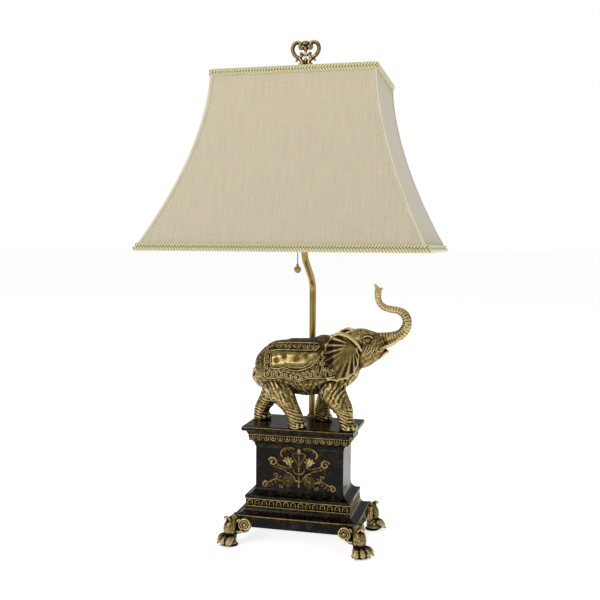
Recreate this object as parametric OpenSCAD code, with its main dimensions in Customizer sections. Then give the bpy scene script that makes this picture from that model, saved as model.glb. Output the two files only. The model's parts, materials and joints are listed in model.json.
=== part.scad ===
// Table lamp: a gilt elephant on a black moulded pedestal with four paw feet,
// an S-bent stem behind it, and a rectangular bell shade on a harp.
// Origin: on the floor, under the axis of the lamp holder. +X is to the right, +Y to the back.

/* [Pedestal] */
// Width of the plinth, at the widest layer of the pedestal
plinth_w = 190.5; // [180:0.5:200]
// How much less deep than wide every layer of the pedestal is
depth_less = 73; // [70:0.5:76]
// How far the centre of the pedestal is behind the lamp holder's axis
pedestal_y = 8.5; // [7:0.5:10]
// Width of the die, the plain block in the middle
die_w = 137; // [133:0.5:141]
// Width of the top slab
slab_w = 173; // [171:0.5:176]
// Wall thickness of the hollow layers
wall = 8; // [6:0.5:9]
// Width of the lower gilt band
lower_band_w = 164; // [160:0.5:168]
// Width of the upper gilt band
upper_band_w = 158; // [156:0.5:160]

/* [Feet] */
// Height of the underside of the plinth above the floor
foot_h = 28; // [26:0.5:30]
// Radius of the volutes beside each paw
volute_r = 11; // [9:0.5:12]
// Distance of a volute's centre from the plinth's corner
volute_out = 19; // [16:0.5:22]
// Thickness of the felt under each paw
felt_t = 1.5; // [1:0.1:2]

/* [Stem] */
// Outer diameter of the stem tube
stem_d = 10.3; // [9.5:0.1:11]
// Bore of the stem tube
stem_bore_d = 8.1; // [7:0.1:8.4]
// Distance of the stem behind the lamp holder's axis
stem_back = 49.5; // [48:0.5:51]
// Sideways offset of the stem's foot
stem_side = 2.5; // [1:0.5:4]
// Height where the lower bend of the stem starts
bend_z = 383; // [375:1:390]
// Centreline radius of both bends
bend_r = 30; // [26:1:34]
// Angle of both bends
bend_a = 50; // [46:1:54]

/* [Harp and lamp holder] */
// Diameter of the harp's wire
harp_d = 3.6; // [3:0.1:4]
// Distance of each harp end from the axis
harp_foot_x = 27; // [25:0.5:29]
// Height of the top of the harp
harp_top_z = 694; // [690:1:697]
// Diameter of the lamp holder's shell
holder_d = 33; // [31:0.5:35]
// Diameter of the bulb
bulb_d = 60; // [50:1:62]

/* [Pull chain] */
// Sideways place of the chain
chain_x = -4.8; // [-8:0.1:-2]
// Place of the chain in front of the axis
chain_y = -22; // [-24:0.5:-21]
// Height of the centre of the end ball
chain_ball_z = 419.4; // [415:0.1:425]
// Diameter of the end ball
chain_ball_d = 10.7; // [9:0.1:12]
// Diameter of one bead
bead_d = 2.4; // [2:0.1:3]

/* [Shade] */
// Height of the top edge of the fabric
shade_top_z = 705; // [703:0.5:706]
// Height of the bottom edge of the fabric
shade_bottom_z = 448; // [446:0.5:450]
// Width of the shade at the top edge
shade_top_w = 238; // [234:1:242]
// How much wider the shade is at the bottom
shade_flare = 166; // [160:1:170]
// How much less deep than wide the shade is
shade_depth_less = 70; // [66:1:74]
// Power of the curve: 1 is a straight side, more is a deeper bell
bell_power = 1.7; // [1.3:0.1:2.2]
// Thickness of the fabric with its backing
fabric_t = 0.8; // [0.6:0.1:1]
// Height of the braid along both edges
braid_h = 10.7; // [9:0.1:12]
// Width of each leg of the tape over a corner
tape_w = 4; // [3:0.5:5]

/* [Finial] */
// Height of the top of the finial
finial_top_z = 762; // [760:0.5:764]
// Thickness of the scrollwork
scroll_t = 6; // [5:0.5:7]

/* [Hidden] */

gilt = "darkgoldenrod";
black = [0.09, 0.08, 0.07];
brass = [0.62, 0.5, 0.28];
cloth = [0.8, 0.75, 0.63];

// Heights of the pedestal's layers
plinth_z = foot_h + 18;
cove_z = plinth_z + 9.8;
lower_band_z = cove_z + 13.7;
shoulder_z = lower_band_z + 3.5;
die_z = shoulder_z + 14;
die_top_z = die_z + 60;
cavetto_z = die_top_z + 11.5;
upper_band_z = cavetto_z + 10;
slab_low_z = upper_band_z + 0.5;
slab_z = slab_low_z + 4.5;
slab_top_z = slab_z + 7.5;

plinth_x = plinth_w / 2;
plinth_y = (plinth_w - depth_less) / 2;
cavity_x = die_w / 2 - wall;
cavity_y = (die_w - depth_less) / 2 - wall;
die_front_y = pedestal_y - (die_w - depth_less) / 2;
band_t = 3.9;
corners = [[-1, -1], [1, -1], [-1, 1], [1, 1]];

// ---- Curves ----

// Catmull-Rom curve through points of any length
function between(a, b, c, d, t) =
    0.5 * (2 * b + (c - a) * t + (2 * a - 5 * b + 4 * c - d) * t * t
    + (3 * b - a - 3 * c + d) * t * t * t);
function smooth_line(p, steps) = let (n = len(p) - 1) [
    for (i = [0:n - 1], k = [0:steps - 1])
        between(p[max(i - 1, 0)], p[i], p[i + 1], p[min(i + 2, n)], k / steps),
    p[n]];

// Points [x, z] along an arc, angles from the x axis
function arc(x, z, r, from, to, n) = [for (k = [0:n]) let (a = from + (to - from) * k / n)
    [x + r * cos(a), z + r * sin(a)]];

// A round limb along stations [x, y, z, half width along Y, half thickness across Y]
module limb(stations, sides = 16, steps = 3) {
    p = smooth_line(stations, steps);
    m = len(p);
    rings = [for (i = [0:m - 1]) let (
            a = p[max(i - 1, 0)], b = p[min(i + 1, m - 1)],
            run = norm([b[0] - a[0], b[2] - a[2]]),
            nx = -(b[2] - a[2]) / run, nz = (b[0] - a[0]) / run)
        for (j = [0:sides - 1]) let (c = cos(360 * j / sides), s = sin(360 * j / sides))
            [p[i][0] + nx * p[i][4] * c, p[i][1] + p[i][3] * s, p[i][2] + nz * p[i][4] * c]];
    ends = [[p[0][0], p[0][1], p[0][2]], [p[m - 1][0], p[m - 1][1], p[m - 1][2]]];
    skin = [for (i = [0:m - 2], j = [0:sides - 1]) let (k = (j + 1) % sides)
        [i * sides + j, i * sides + k, (i + 1) * sides + k, (i + 1) * sides + j]];
    first = [for (j = [0:sides - 1]) [m * sides, (j + 1) % sides, j]];
    last = [for (j = [0:sides - 1]) let (k = (m - 1) * sides)
        [m * sides + 1, k + j, k + (j + 1) % sides]];
    polyhedron(points = concat(rings, ends), faces = concat(skin, first, last));
}

// ---- Pedestal ----

// A mitred block: profile points [half width, z], the same mouldings on all four sides
module block(profile, y = pedestal_y) {
    n = len(profile);
    long_side = concat(profile, [for (i = [n - 1:-1:0]) [-profile[i][0], profile[i][1]]]);
    short_side = [for (p = long_side) [p[0] - sign(p[0]) * depth_less / 2, p[1]]];
    translate([0, y, 0]) intersection() {
        rotate([90, 0, 0]) linear_extrude(height = 400, center = true) polygon(long_side);
        rotate([90, 0, 90]) linear_extrude(height = 400, center = true) polygon(short_side);
    }
}

// A quarter curve between two points of a profile; bulge 1 is hollow, -1 is round
function quarter(from, to, hollow = true, n = 6) = [for (k = [1:n]) let (a = 90 * k / n)
    hollow ? [to[0] + (from[0] - to[0]) * (1 - sin(a)), from[1] + (to[1] - from[1]) * (1 - cos(a))]
    : [to[0] + (from[0] - to[0]) * cos(a), from[1] + (to[1] - from[1]) * sin(a)]];

module cavity(low, high, x = cavity_x, y = cavity_y) {
    translate([-x, pedestal_y - y, low]) cube([2 * x, 2 * y, high - low]);
}

module at_corners(x, y) {
    for (c = corners) translate([c[0] * x, pedestal_y + c[1] * y, 0]) children();
}

plate_x = 72;
plate_y = 36;
plate_t = 1.5;
floor_t = 4;
foot_screw_in = 13;
bush_z = plinth_z - 9;

module plinth() {
    band_back = lower_band_w / 2 - band_t - 0.1;
    color(black) difference() {
        block(concat(
            [[plinth_x - 0.8, foot_h], [plinth_x, foot_h + 0.8], [plinth_x, plinth_z - 1],
            [plinth_x - 1, plinth_z]],
            quarter([plinth_x - 1, plinth_z], [lower_band_w / 2, cove_z]),
            [[band_back, cove_z], [band_back, lower_band_z]]));
        cavity(foot_h + floor_t, lower_band_z + 1, cavity_x + 10, cavity_y + 10);
        cavity(foot_h - 1, foot_h + floor_t + 1, plate_x - 6, plate_y - 6);
        at_corners(plinth_x - foot_screw_in, plinth_y - foot_screw_in) translate([0, 0, foot_h - 1])
            cylinder(r = 2.6, h = floor_t + 2, $fn = 32);
        at_plate_screws(foot_h - 1, foot_h + floor_t + 1) cylinder(r = 1.45, h = floor_t + 2, $fn = 24);
        translate([0, pedestal_y + plinth_y - 40, bush_z]) rotate([-90, 0, 0])
            cylinder(r = 5.1, h = 50, $fn = 40);
        at_corners(plinth_x - foot_screw_in, plinth_y - foot_screw_in)
            translate([0, 0, foot_h + floor_t]) cylinder(r = 8, h = 10, $fn = 32);
    }
}

module at_plate_screws(low, high) {
    for (s = [-1, 1]) {
        translate([s * (plate_x - 3), pedestal_y, low]) children();
        translate([0, pedestal_y + s * (plate_y - 3), low]) children();
    }
}

module bottom_plate() {
    color("silver") difference() {
        translate([-plate_x, pedestal_y - plate_y, foot_h - plate_t])
            cube([2 * plate_x, 2 * plate_y, plate_t]);
        at_plate_screws(foot_h - plate_t - 1, 0) cylinder(r = 1.9, h = 4, $fn = 24);
        translate([0, pedestal_y, foot_h - plate_t - 1]) cylinder(r = 4.4, h = 4, $fn = 32);
    }
}

module bottom_plate_screws() {
    color("silver") at_plate_screws(foot_h - plate_t - 2, 0) {
        cylinder(r = 3.2, h = 2, $fn = 32);
        cylinder(r = 1.42, h = 2 + plate_t + floor_t - 0.5, $fn = 24);
    }
}

module foot_screws() {
    color("silver") at_corners(plinth_x - foot_screw_in, plinth_y - foot_screw_in) {
        translate([0, 0, foot_h + floor_t]) cylinder(r = 4.6, h = 3, $fn = 32);
        translate([0, 0, foot_h - 8]) cylinder(r = 2.5, h = 8 + floor_t + 0.5, $fn = 32);
    }
}

module cord_bush() {
    color([0.1, 0.1, 0.1]) translate([0, pedestal_y + plinth_y, bush_z]) rotate([-90, 0, 0])
        difference() {
            union() {
                translate([0, 0, -14]) cylinder(r = 5, h = 14, $fn = 48);
                cylinder(r = 7, h = 2.5, $fn = 48);
            }
            translate([0, 0, -15]) cylinder(r = 3.5, h = 19, $fn = 48);
        }
}

// One gilt band: a ring with a fillet above and below and a row of round-ended tongues
module gilt_band(w, low, high, tongues_up) {
    half = w / 2;
    back = half - band_t;
    bed = half - 1.8;
    pitch = 11;
    across = [w - 6, w - depth_less - 6];
    tongue_r = 3.6;
    color(gilt) difference() {
        union() {
            block([[bed, low], [bed, high]]);
            block([[half, high - 2.2], [half, high]]);
            block([[half - 0.5, low], [half - 0.5, low + 1.6]]);
            for (side = [0:3]) let (
                run = across[side % 2], n = round(run / pitch), step = run / n,
                face = (side % 2 == 0 ? half - depth_less / 2 : half) - 1.9)
                translate([0, pedestal_y, 0]) rotate([0, 0, 90 * side]) for (k = [0:n - 1])
                    translate([-run / 2 + (k + 0.5) * step, -face, 0]) {
                        end_z = tongues_up ? high - 3 - tongue_r : low + 1.5 + tongue_r;
                        translate([0, 0, end_z]) rotate([90, 0, 0])
                            cylinder(r = tongue_r, h = 1.6, $fn = 24);
                        translate([-tongue_r, -1.6, tongues_up ? low + 1 : end_z])
                            cube([2 * tongue_r, 1.6, tongues_up ? end_z - low - 1
                                : high - 1.5 - end_z]);
                    }
        }
        cavity(low - 1, high + 1, back, back - depth_less / 2);
    }
}

module lower_gilt_band() { gilt_band(lower_band_w, cove_z, lower_band_z, true); }
module upper_gilt_band() { gilt_band(upper_band_w, cavetto_z, upper_band_z, false); }

module pedestal_die() {
    foot = lower_band_w / 2;
    color(black) difference() {
        block(concat([[foot - 0.5, lower_band_z], [foot, lower_band_z + 0.5], [foot, shoulder_z]],
            quarter([foot, shoulder_z], [die_w / 2, die_z], true),
            [[die_w / 2, die_top_z]]));
        cavity(lower_band_z - 1, die_top_z + 1);
    }
}

module cornice() {
    band_back = upper_band_w / 2 - band_t - 0.1;
    color(black) difference() {
        block(concat([[die_w / 2, die_top_z], [die_w / 2 + 1, die_top_z + 1]],
            quarter([die_w / 2 + 1, die_top_z + 1], [upper_band_w / 2 - 2, cavetto_z - 1], false),
            [[upper_band_w / 2 - 2, cavetto_z], [band_back, cavetto_z], [band_back, upper_band_z]]));
        cavity(die_top_z - 1, upper_band_z + 1);
        cord_passage();
    }
}

// The drilled way for a cord from the stem's foot into the hollow pedestal
module cord_passage() {
    translate([stem_side, stem_back, slab_z - 0.5]) rotate([60, 0, 0])
        translate([0, 0, -40]) cylinder(r = 3, h = 40, $fn = 32);
}

insert_z = slab_z - 1;
elephant_screw_at = [[-70, 18], [-2, -27], [26, 32], [72, -24]];

module top_slab() {
    half = slab_w / 2;
    color(black) difference() {
        block(concat([[upper_band_w / 2, upper_band_z], [upper_band_w / 2 + 0.5, slab_low_z]],
            quarter([upper_band_w / 2 + 0.5, slab_low_z], [half - 2, slab_z], false),
            [[half - 1, slab_z], [half, slab_z + 1.2], [half, slab_top_z - 2.2],
            [half - 0.6, slab_top_z - 0.8], [half - 2, slab_top_z]]));
        translate([stem_side, stem_back, insert_z]) cylinder(r = 7.6, h = 20, $fn = 48);
        cord_passage();
        for (p = elephant_screw_at) translate([p[0], p[1], upper_band_z - 1]) {
            cylinder(r = 2.2, h = 20, $fn = 32);
            cylinder(r = 4, h = 4.5, $fn = 32);
        }
        translate([0, pedestal_y, upper_band_z - 1]) cylinder(r = 4, h = 10, $fn = 32);
    }
}

module elephant_screws() {
    color("silver") for (p = elephant_screw_at) translate([p[0], p[1], upper_band_z]) {
        translate([0, 0, 0.6]) cylinder(r = 3.7, h = 2.8, $fn = 32);
        cylinder(r = 2, h = slab_top_z - upper_band_z + 9, $fn = 32);
    }
}

module tie_rod() {
    color("silver") translate([0, pedestal_y, foot_h - 12])
        cylinder(r = 4, h = upper_band_z + 8 - foot_h + 12, $fn = 32);
}

module tie_nut() {
    color("silver") translate([0, pedestal_y, foot_h - plate_t]) {
        difference() {
            union() {
                translate([0, 0, -1.2]) cylinder(r = 10, h = 1.2, $fn = 48);
                translate([0, 0, -8]) cylinder(r = 7.5, h = 6.8, $fn = 6);
            }
            translate([0, 0, -9]) cylinder(r = 4, h = 12, $fn = 32);
        }
    }
}

module relief_flower(x, z, r) {
    translate([x, z]) {
        circle(r = r * 0.55, $fn = 24);
        for (a = [0:72:288]) rotate(a) translate([r * 0.55, 0]) circle(r = r * 0.46, $fn = 20);
    }
}

// A leaf along an arc, thick in the middle and thin at both ends
module relief_sprig(x, z, r, from, to, thick) {
    n = 8;
    outer = [for (k = [0:n]) let (a = from + (to - from) * k / n, w = thick * sin(180 * (0.08 + 0.84 * k / n)))
        [x + (r + w / 2) * cos(a), z + (r + w / 2) * sin(a)]];
    inner = [for (k = [n:-1:0]) let (a = from + (to - from) * k / n, w = thick * sin(180 * (0.08 + 0.84 * k / n)))
        [x + (r - w / 2) * cos(a), z + (r - w / 2) * sin(a)]];
    polygon(concat(outer, inner));
}

module panel_relief() {
    color(gilt) translate([0, die_front_y, 0]) rotate([90, 0, 0]) linear_extrude(height = 2.4) intersection() {
        translate([-die_w / 2, die_z + 0.2]) square([die_w, die_top_z - die_z - 0.4]);
        for (m = [0, 1]) mirror([m, 0]) {
            relief_flower(17, 126, 7.5);
            relief_flower(40, 125, 7);
            relief_flower(16, 97.5, 9.5);
            relief_flower(38, 101, 6);
            relief_sprig(15, 133, 12, 10, 175, 4);
            relief_sprig(29, 124, 12, -20, 150, 3.6);
            relief_sprig(27, 108, 14, 150, 20, 4);
            relief_sprig(46, 93, 11, 190, 20, 5);
            relief_sprig(30, 92, 13, 200, 330, 4);
            relief_sprig(8, 109, 7, 100, -80, 4);
            translate([0, 143]) circle(r = 3.6, $fn = 24);
            translate([-1.6, 91]) square([3.2, 50]);
            translate([-6, 96]) square([12, 3]);
            translate([0, 110]) circle(r = 6, $fn = 24);
        }
    }
}

// ---- Paw feet ----

// One foot at the corner of the plinth, which fills x < 0, y < 0 above foot_h
module paw() {
    shin = [[-2, 0, 46, 6, 4], [1, 0, 40, 8, 6], [2.5, 0, 30, 10.5, 9.5], [1.5, 0, 21, 8.5, 8.5],
        [2, 0, 14, 10, 9.5], [4, 0, 7, 13, 12], [5, 0, felt_t, 12.5, 12]];
    leaf = [[4, 0, 36, 5, 3], [6.5, 0, 43, 5, 2], [10, 0, 46.5, 3.5, 1.6], [12.5, 0, 45, 1.5, 1]];
    toe = [[6, 0, 9.5, 4.5, 5], [13, 0, 10.5, 4.8, 5.5], [18.5, 0, 7.5, 4.4, 5], [22, 0, 4.5, 2.4, 2.6]];
    difference() {
        union() {
            rotate([0, 0, 45]) {
                limb(shin, 18, 3);
                limb(leaf, 10, 2);
                for (a = [-57, -19, 19, 57]) rotate([0, 0, a]) limb(toe, 10, 2);
            }
            translate([-12, -12, foot_h - 12]) cylinder(r1 = 8, r2 = 12, h = 12, $fn = 28);
            for (m = [0, 1]) mirror([m, -m, 0]) {
                translate([-volute_out, -1, foot_h + 5]) rotate([-90, 0, 0])
                    cylinder(r = volute_r, h = 8.5, $fn = 28);
                translate([-volute_out, -6, foot_h - 5]) cube([volute_out, 12, 9]);
            }
        }
        translate([-60, -60, foot_h]) cube([60, 60, 40]);
        translate([-60, -60, -20]) cube([120, 120, 20 + felt_t]);
        translate([-foot_screw_in, -foot_screw_in, foot_h - 8]) cylinder(r = 2.5, h = 20, $fn = 24);
    }
}

module foot(sx, sy) {
    color(gilt) translate([sx * plinth_x, pedestal_y + sy * plinth_y, 0])
        mirror([sx < 0 ? 1 : 0, 0, 0]) mirror([0, sy < 0 ? 1 : 0, 0]) paw();
}

module foot_front_left() { foot(-1, -1); }
module foot_front_right() { foot(1, -1); }
module foot_back_left() { foot(-1, 1); }
module foot_back_right() { foot(1, 1); }

module felt_pads() {
    color([0.12, 0.12, 0.12]) for (c = corners)
        translate([c[0] * (plinth_x + 3.5), pedestal_y + c[1] * (plinth_y + 3.5), 0])
            cylinder(r = 11, h = felt_t, $fn = 40);
}

// ---- Elephant ----

ground = slab_top_z;

module elephant_leg(stations) { limb(stations, 16, 2); }

trunk_path = [[104, 0, 308, 15, 20], [114, 0, 311, 12, 16], [122, 0, 316, 9.5, 11],
    [135, 0, 319, 8.5, 8.5], [147, 0, 323, 8, 8], [155, 0, 331, 7.6, 7.8],
    [158.5, 0, 342, 7, 7], [155, 0, 353, 6.5, 6.5], [146, 0, 359.5, 5.8, 5.8],
    [135, 0, 361, 5.2, 5.2], [125, 0, 363.5, 5, 5], [117.5, 0, 369, 4.8, 4.8],
    [114, 0, 377, 4.8, 4.8], [114, 0, 386, 5, 5.4], [112.5, 0, 394, 3, 2.6]];

function torso_at(grow) = [
    [-74.5, 0, 256, 10 + grow, 7 + grow], [-71, 0, 254, 19 + grow, 18 + grow],
    [-62.5, 0, 257, 26.5 + grow, 30 + grow], [-50, 0, 261, 32.5 + grow, 39.5 + grow],
    [-35, 0, 264.5, 36 + grow, 44 + grow], [-15, 0, 269, 37.5 + grow, 42 + grow],
    [5, 0, 268.5, 38 + grow, 43 + grow], [25, 0, 271.5, 37 + grow, 42 + grow],
    [42, 0, 276, 34.5 + grow, 43.5 + grow], [58, 0, 283, 31 + grow, 40 + grow],
    [72, 0, 293, 27 + grow, 31 + grow], [86, 0, 300, 22 + grow, 24 + grow]];

module saddle_outline() {
    polygon(smooth_line([[-51, 300], [-54, 280], [-50, 256], [-38, 256], [-25, 258], [-10, 254.5],
        [0, 253.5], [15, 258], [45, 260], [58, 262], [60, 275], [52, 300], [40, 335]], 3));
}

module ear() {
    outline = smooth_line([[84, 306], [76, 320], [64, 324], [50, 318], [41, 303], [37, 285],
        [37, 266], [46, 257], [57, 256.5], [68, 259], [77, 266], [84, 280], [86, 295]], 3);
    translate([86, 0, 0]) rotate([0, 0, 9]) translate([-86, 0, 0])
        translate([0, -28, 0]) rotate([90, 0, 0]) linear_extrude(height = 3.6) polygon(outline);
}

module elephant() {
    color(gilt) difference() {
        union() {
            limb(torso_at(0), 24, 2);
            intersection() {
                limb(torso_at(1.6), 24, 2);
                rotate([90, 0, 0]) linear_extrude(height = 100, center = true) saddle_outline();
            }
            limb([[72, 0, 298, 18, 22], [84, 0, 300, 22, 30], [95, 0, 303.5, 23, 29.5],
                [106, 0, 307, 21, 25], [116, 0, 311, 15, 18], [124, 0, 315, 10, 11.5]], 20, 2);
            limb([[98, 0, 296, 9, 12], [112, 0, 291, 7, 8], [122, 0, 294.5, 5.5, 4.6],
                [131, 0, 298.5, 4, 2.6]], 12, 2);
            limb(trunk_path, 14, 2);
            for (m = [0, 1]) mirror([0, m, 0]) ear();
            limb([[-72, 0, 266, 5, 5], [-77.5, 0, 261, 4, 4], [-79, 0, 254, 3.4, 3.4],
                [-76.5, 0, 248, 5.2, 5.2], [-73.5, 0, 242, 2.5, 2.5]], 10, 2);
            elephant_leg([[50, -12, 262, 16, 24], [49.5, -18, 240, 15, 21.5], [57, -22, 227, 13.5, 18.5],
                [66, -24, 215, 12.5, 15.5], [70.5, -25, 205, 12, 13], [72.5, -25, 193, 12, 11.5],
                [74.5, -25, 186, 13, 13], [75, -25, ground, 13, 13]]);
            elephant_leg([[-30, -14, 262, 16, 28], [-33, -20, 240, 16, 24], [-22, -25, 224, 14.5, 17],
                [-13, -27, 211, 12.5, 13], [-7, -28.5, 200, 12, 12.5], [-3.5, -29, 190, 12.5, 13.5],
                [-1.5, -29, ground, 13.5, 14.5]]);
            elephant_leg([[-50, 12, 262, 16, 22], [-51, 17, 240, 15, 20], [-57.5, 19, 221, 14, 16],
                [-68, 19, 205, 12, 12.5], [-72, 18.5, 194, 12, 12.5], [-71, 18, ground, 13, 13.5]]);
            elephant_leg([[38, 14, 262, 16, 22], [35, 19, 240, 14.5, 18], [30, 25, 222, 13, 13],
                [25, 29, 208, 12, 12], [23.5, 32, 196, 12, 12.5], [24.5, 33.5, ground, 13, 14]]);
        }
        translate([-200, -200, ground - 40]) cube([400, 400, 40]);
        for (p = elephant_screw_at) translate([p[0], p[1], ground - 1]) cylinder(r = 2.05, h = 11, $fn = 20);
        for (m = [0, 1]) mirror([0, m, 0]) limb(tusk_path, 10, 2);
    }
}

tusk_path = [[112, 11, 300, 2.6, 2.6], [120, 12.5, 303.5, 2.6, 2.6], [131, 14, 307.5, 2.6, 2.6],
    [142, 14.5, 313, 2.2, 2.2], [151, 14, 322, 0.9, 0.9]];

module elephant_tusks() {
    color("khaki") for (m = [0, 1]) mirror([0, m, 0]) limb(tusk_path, 10, 2);
}

// ---- Stem ----

stem_reach = norm([stem_back, stem_side]);
stem_turn = -atan2(stem_side, stem_back);
slope_len = (stem_reach - 2 * bend_r * (1 - cos(bend_a))) / sin(bend_a);
stem_end_z = bend_z + 2 * bend_r * sin(bend_a) + slope_len * cos(bend_a) + 4;

// The stem's centreline from its foot to its top, as points [distance behind the axis, z]
function stem_line(low, high) = concat(
    [[stem_reach, low]],
    arc(stem_reach - bend_r, bend_z, bend_r, 0, bend_a, 8),
    arc(bend_r, stem_end_z - 4, bend_r, 180 + bend_a, 180, 8),
    [[0, high]]);

module stem_bar(d, low, high) {
    limb([for (p = stem_line(low, high)) [p[0], 0, p[1], d / 2, d / 2]], 32, 1);
}

module stem() {
    color(brass) rotate([0, 0, 90 + stem_turn]) difference() {
        stem_bar(stem_d, insert_z + 1, stem_end_z + 3.5);
        stem_bar(stem_bore_d, insert_z, stem_end_z + 5);
    }
}

module stem_insert() {
    color(brass) translate([stem_side, stem_back, insert_z]) difference() {
        cylinder(r = 7.5, h = slab_top_z - insert_z, $fn = 48);
        translate([0, 0, 1]) cylinder(d = stem_d, h = 20, $fn = 48);
        translate([0, 0, -1]) cylinder(r = 3.4, h = 4, $fn = 32);
    }
}

module stem_collar() {
    color(brass) translate([stem_side, stem_back, slab_top_z]) difference() {
        rotate_extrude($fn = 64) polygon([[stem_d / 2, 0], [8.8, 0], [8.8, 1.6], [7.6, 3], [6.8, 5],
            [stem_d / 2, 5.6]]);
        translate([0, 0, -1]) cylinder(d = stem_d, h = 10, $fn = 48);
    }
}

// ---- Lamp holder ----

saddle_z = stem_end_z + 0.5;
cap_z = saddle_z + 1.6;
shell_z = cap_z + 18;
shell_h = 34;

module harp_saddle() {
    color(brass) difference() {
        union() {
            translate([-harp_foot_x, -6, saddle_z]) cube([2 * harp_foot_x, 12, 1.4]);
            cylinder_at(0, 0, saddle_z, 9, 1.4);
            for (s = [-1, 1]) translate([s * harp_foot_x, 0, saddle_z]) {
                cylinder(r = 3.1, h = 14, $fn = 40);
            }
        }
        translate([0, 0, saddle_z - 1]) cylinder(d = stem_d + 0.1, h = 4, $fn = 48);
        for (s = [-1, 1]) translate([s * harp_foot_x, 0, saddle_z + 2])
            cylinder(d = harp_d, h = 20, $fn = 40);
    }
}

module cylinder_at(x, y, z, r, h) { translate([x, y, z]) cylinder(r = r, h = h, $fn = 48); }

module socket_cap() {
    rim = holder_d / 2;
    inner = quarter([7.4, 4], [rim - 0.9, 14.2], true, 7);
    color(brass) translate([0, 0, cap_z]) rotate_extrude($fn = 96)
        polygon(concat([[stem_d / 2 + 0.1, 0], [7.5, 0], [8.2, 3]],
            quarter([8.2, 3], [rim, 14], true, 7),
            [[rim, 18.5], [rim - 0.9, 18.5]],
            [for (k = [len(inner) - 1:-1:0]) inner[k]],
            [[7.4, 4], [stem_d / 2 + 0.1, 4]]));
}

module socket_shell() {
    rim = holder_d / 2;
    bell_a = atan2(chain_y, chain_x);
    color(brass) difference() {
        translate([0, 0, shell_z]) rotate_extrude($fn = 96)
            polygon([[rim - 1.9, 0], [rim - 1, 0], [rim - 1, 2], [rim, 2.6], [rim, shell_h - 2],
                [rim + 0.8, shell_h - 1], [rim + 0.8, shell_h], [rim - 1.9, shell_h]]);
        rotate([0, 0, bell_a]) translate([10, 0, bell_z]) rotate([0, 90, 0])
            cylinder(r = 2.6, h = 12, $fn = 32);
    }
}

module socket_liner() {
    rim = holder_d / 2 - 2.1;
    color("tan") difference() {
        cylinder_at(0, 0, shell_z - 1, rim, shell_h);
        cylinder_at(0, 0, shell_z - 2, rim - 0.7, shell_h + 4);
        translate([0, 0, bell_z]) rotate([0, 0, atan2(chain_y, chain_x)]) translate([8, 0, 0])
            rotate([0, 90, 0]) cylinder(r = 2.6, h = 12, $fn = 32);
    }
}

bell_z = shell_z + 6;
block_r = holder_d / 2 - 3.2;

module switch_block() {
    color([0.15, 0.13, 0.12]) difference() {
        cylinder_at(0, 0, cap_z + 15.5, block_r, 17);
        translate([0, 0, bell_z]) rotate([0, 0, atan2(chain_y, chain_x)]) translate([7, 0, 0])
            rotate([0, 90, 0]) cylinder(r = 2, h = 20, $fn = 32);
        translate([0, 0, cap_z + 31]) cylinder(r = 2.6, h = 4, $fn = 32);
    }
}

screw_z = cap_z + 33;

module screw_shell() {
    color("gold") difference() {
        cylinder_at(0, 0, screw_z, 13.2, shell_z + shell_h - screw_z - 1);
        cylinder_at(0, 0, screw_z + 0.6, 12.9, 40);
        cylinder_at(0, 0, screw_z - 1, 6, 4);
    }
}

module centre_contact() {
    color("gold") union() {
        cylinder_at(0, 0, cap_z + 31, 2.5, 2);
        cylinder_at(0, 0, screw_z, 4.5, 1.2);
    }
}

module chain_bell() {
    color(brass) rotate([0, 0, atan2(chain_y, chain_x)]) translate([block_r + 0.1, 0, bell_z])
        rotate([0, 90, 0]) rotate_extrude($fn = 40)
            polygon([[1.6, 0], [2.5, 0], [2.5, 3.3], [3.6, 3.5], [3.4, 4.5], [2.6, 5], [2.8, 6.2],
                [3.9, 7.4], [3.5, 7.4], [2.2, 6.2], [1.6, 5]]);
}

// ---- Pull chain ----

chain_r = norm([chain_x, chain_y]);
chain_top_z = bell_z - bead_d / 2 - 0.15;
bead_pitch = 3.3;

module chain_link() {
    inner = 7.6;
    color(brass) {
        rotate([0, 0, atan2(chain_y, chain_x)]) {
            translate([inner, 0, bell_z]) rotate([0, 90, 0])
                cylinder(r = 0.6, h = chain_r - inner, $fn = 20);
            for (k = [0:3]) translate([chain_r - k * bead_pitch, 0, bell_z]) sphere(d = bead_d, $fn = 24);
        }
        translate([chain_x, chain_y, bell_z]) rotate([90, 0, 0])
            cylinder(r = 0.8, h = bead_d + 0.4, center = true, $fn = 24);
    }
}

module pull_chain() {
    low = chain_ball_z + chain_ball_d / 2 + 3.65;
    first = chain_top_z - bead_d / 2;
    n = floor((first - low - bead_d / 2) / bead_pitch);
    color(brass) translate([chain_x, chain_y, 0]) {
        translate([0, 0, low]) cylinder(r = 0.6, h = chain_top_z - low, $fn = 20);
        for (k = [0:n]) translate([0, 0, first - k * bead_pitch])
            sphere(d = bead_d, $fn = 24);
    }
}

module chain_ball() {
    color(brass) translate([chain_x, chain_y, chain_ball_z]) rotate_extrude($fn = 64)
        polygon(concat([for (a = [-90:10:60]) [chain_ball_d / 2 * cos(a), chain_ball_d / 2 * sin(a)]],
            [[1.9, chain_ball_d / 2 - 0.2], [2, chain_ball_d / 2 + 3], [0.7, chain_ball_d / 2 + 3.6],
            [0, chain_ball_d / 2 + 3.6]]));
}

// ---- Harp ----

harp_flare_a = 25;
harp_low_r = 45;
harp_mid_r = 60;
harp_slope = 30;
harp_base_z = saddle_z + 2;
harp_straight_z = saddle_z + 40;
harp_x1 = harp_foot_x + harp_low_r * (1 - cos(harp_flare_a));
harp_z1 = harp_straight_z + harp_low_r * sin(harp_flare_a);
harp_x2 = harp_x1 + harp_slope * sin(harp_flare_a);
harp_z2 = harp_z1 + harp_slope * cos(harp_flare_a);
harp_x = harp_x2 + harp_mid_r * (1 - cos(harp_flare_a));
harp_z3 = harp_z2 + harp_mid_r * sin(harp_flare_a);
harp_top_r = harp_x - 4;
harp_arc_z = harp_top_z - harp_d / 2 - harp_top_r;

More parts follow.
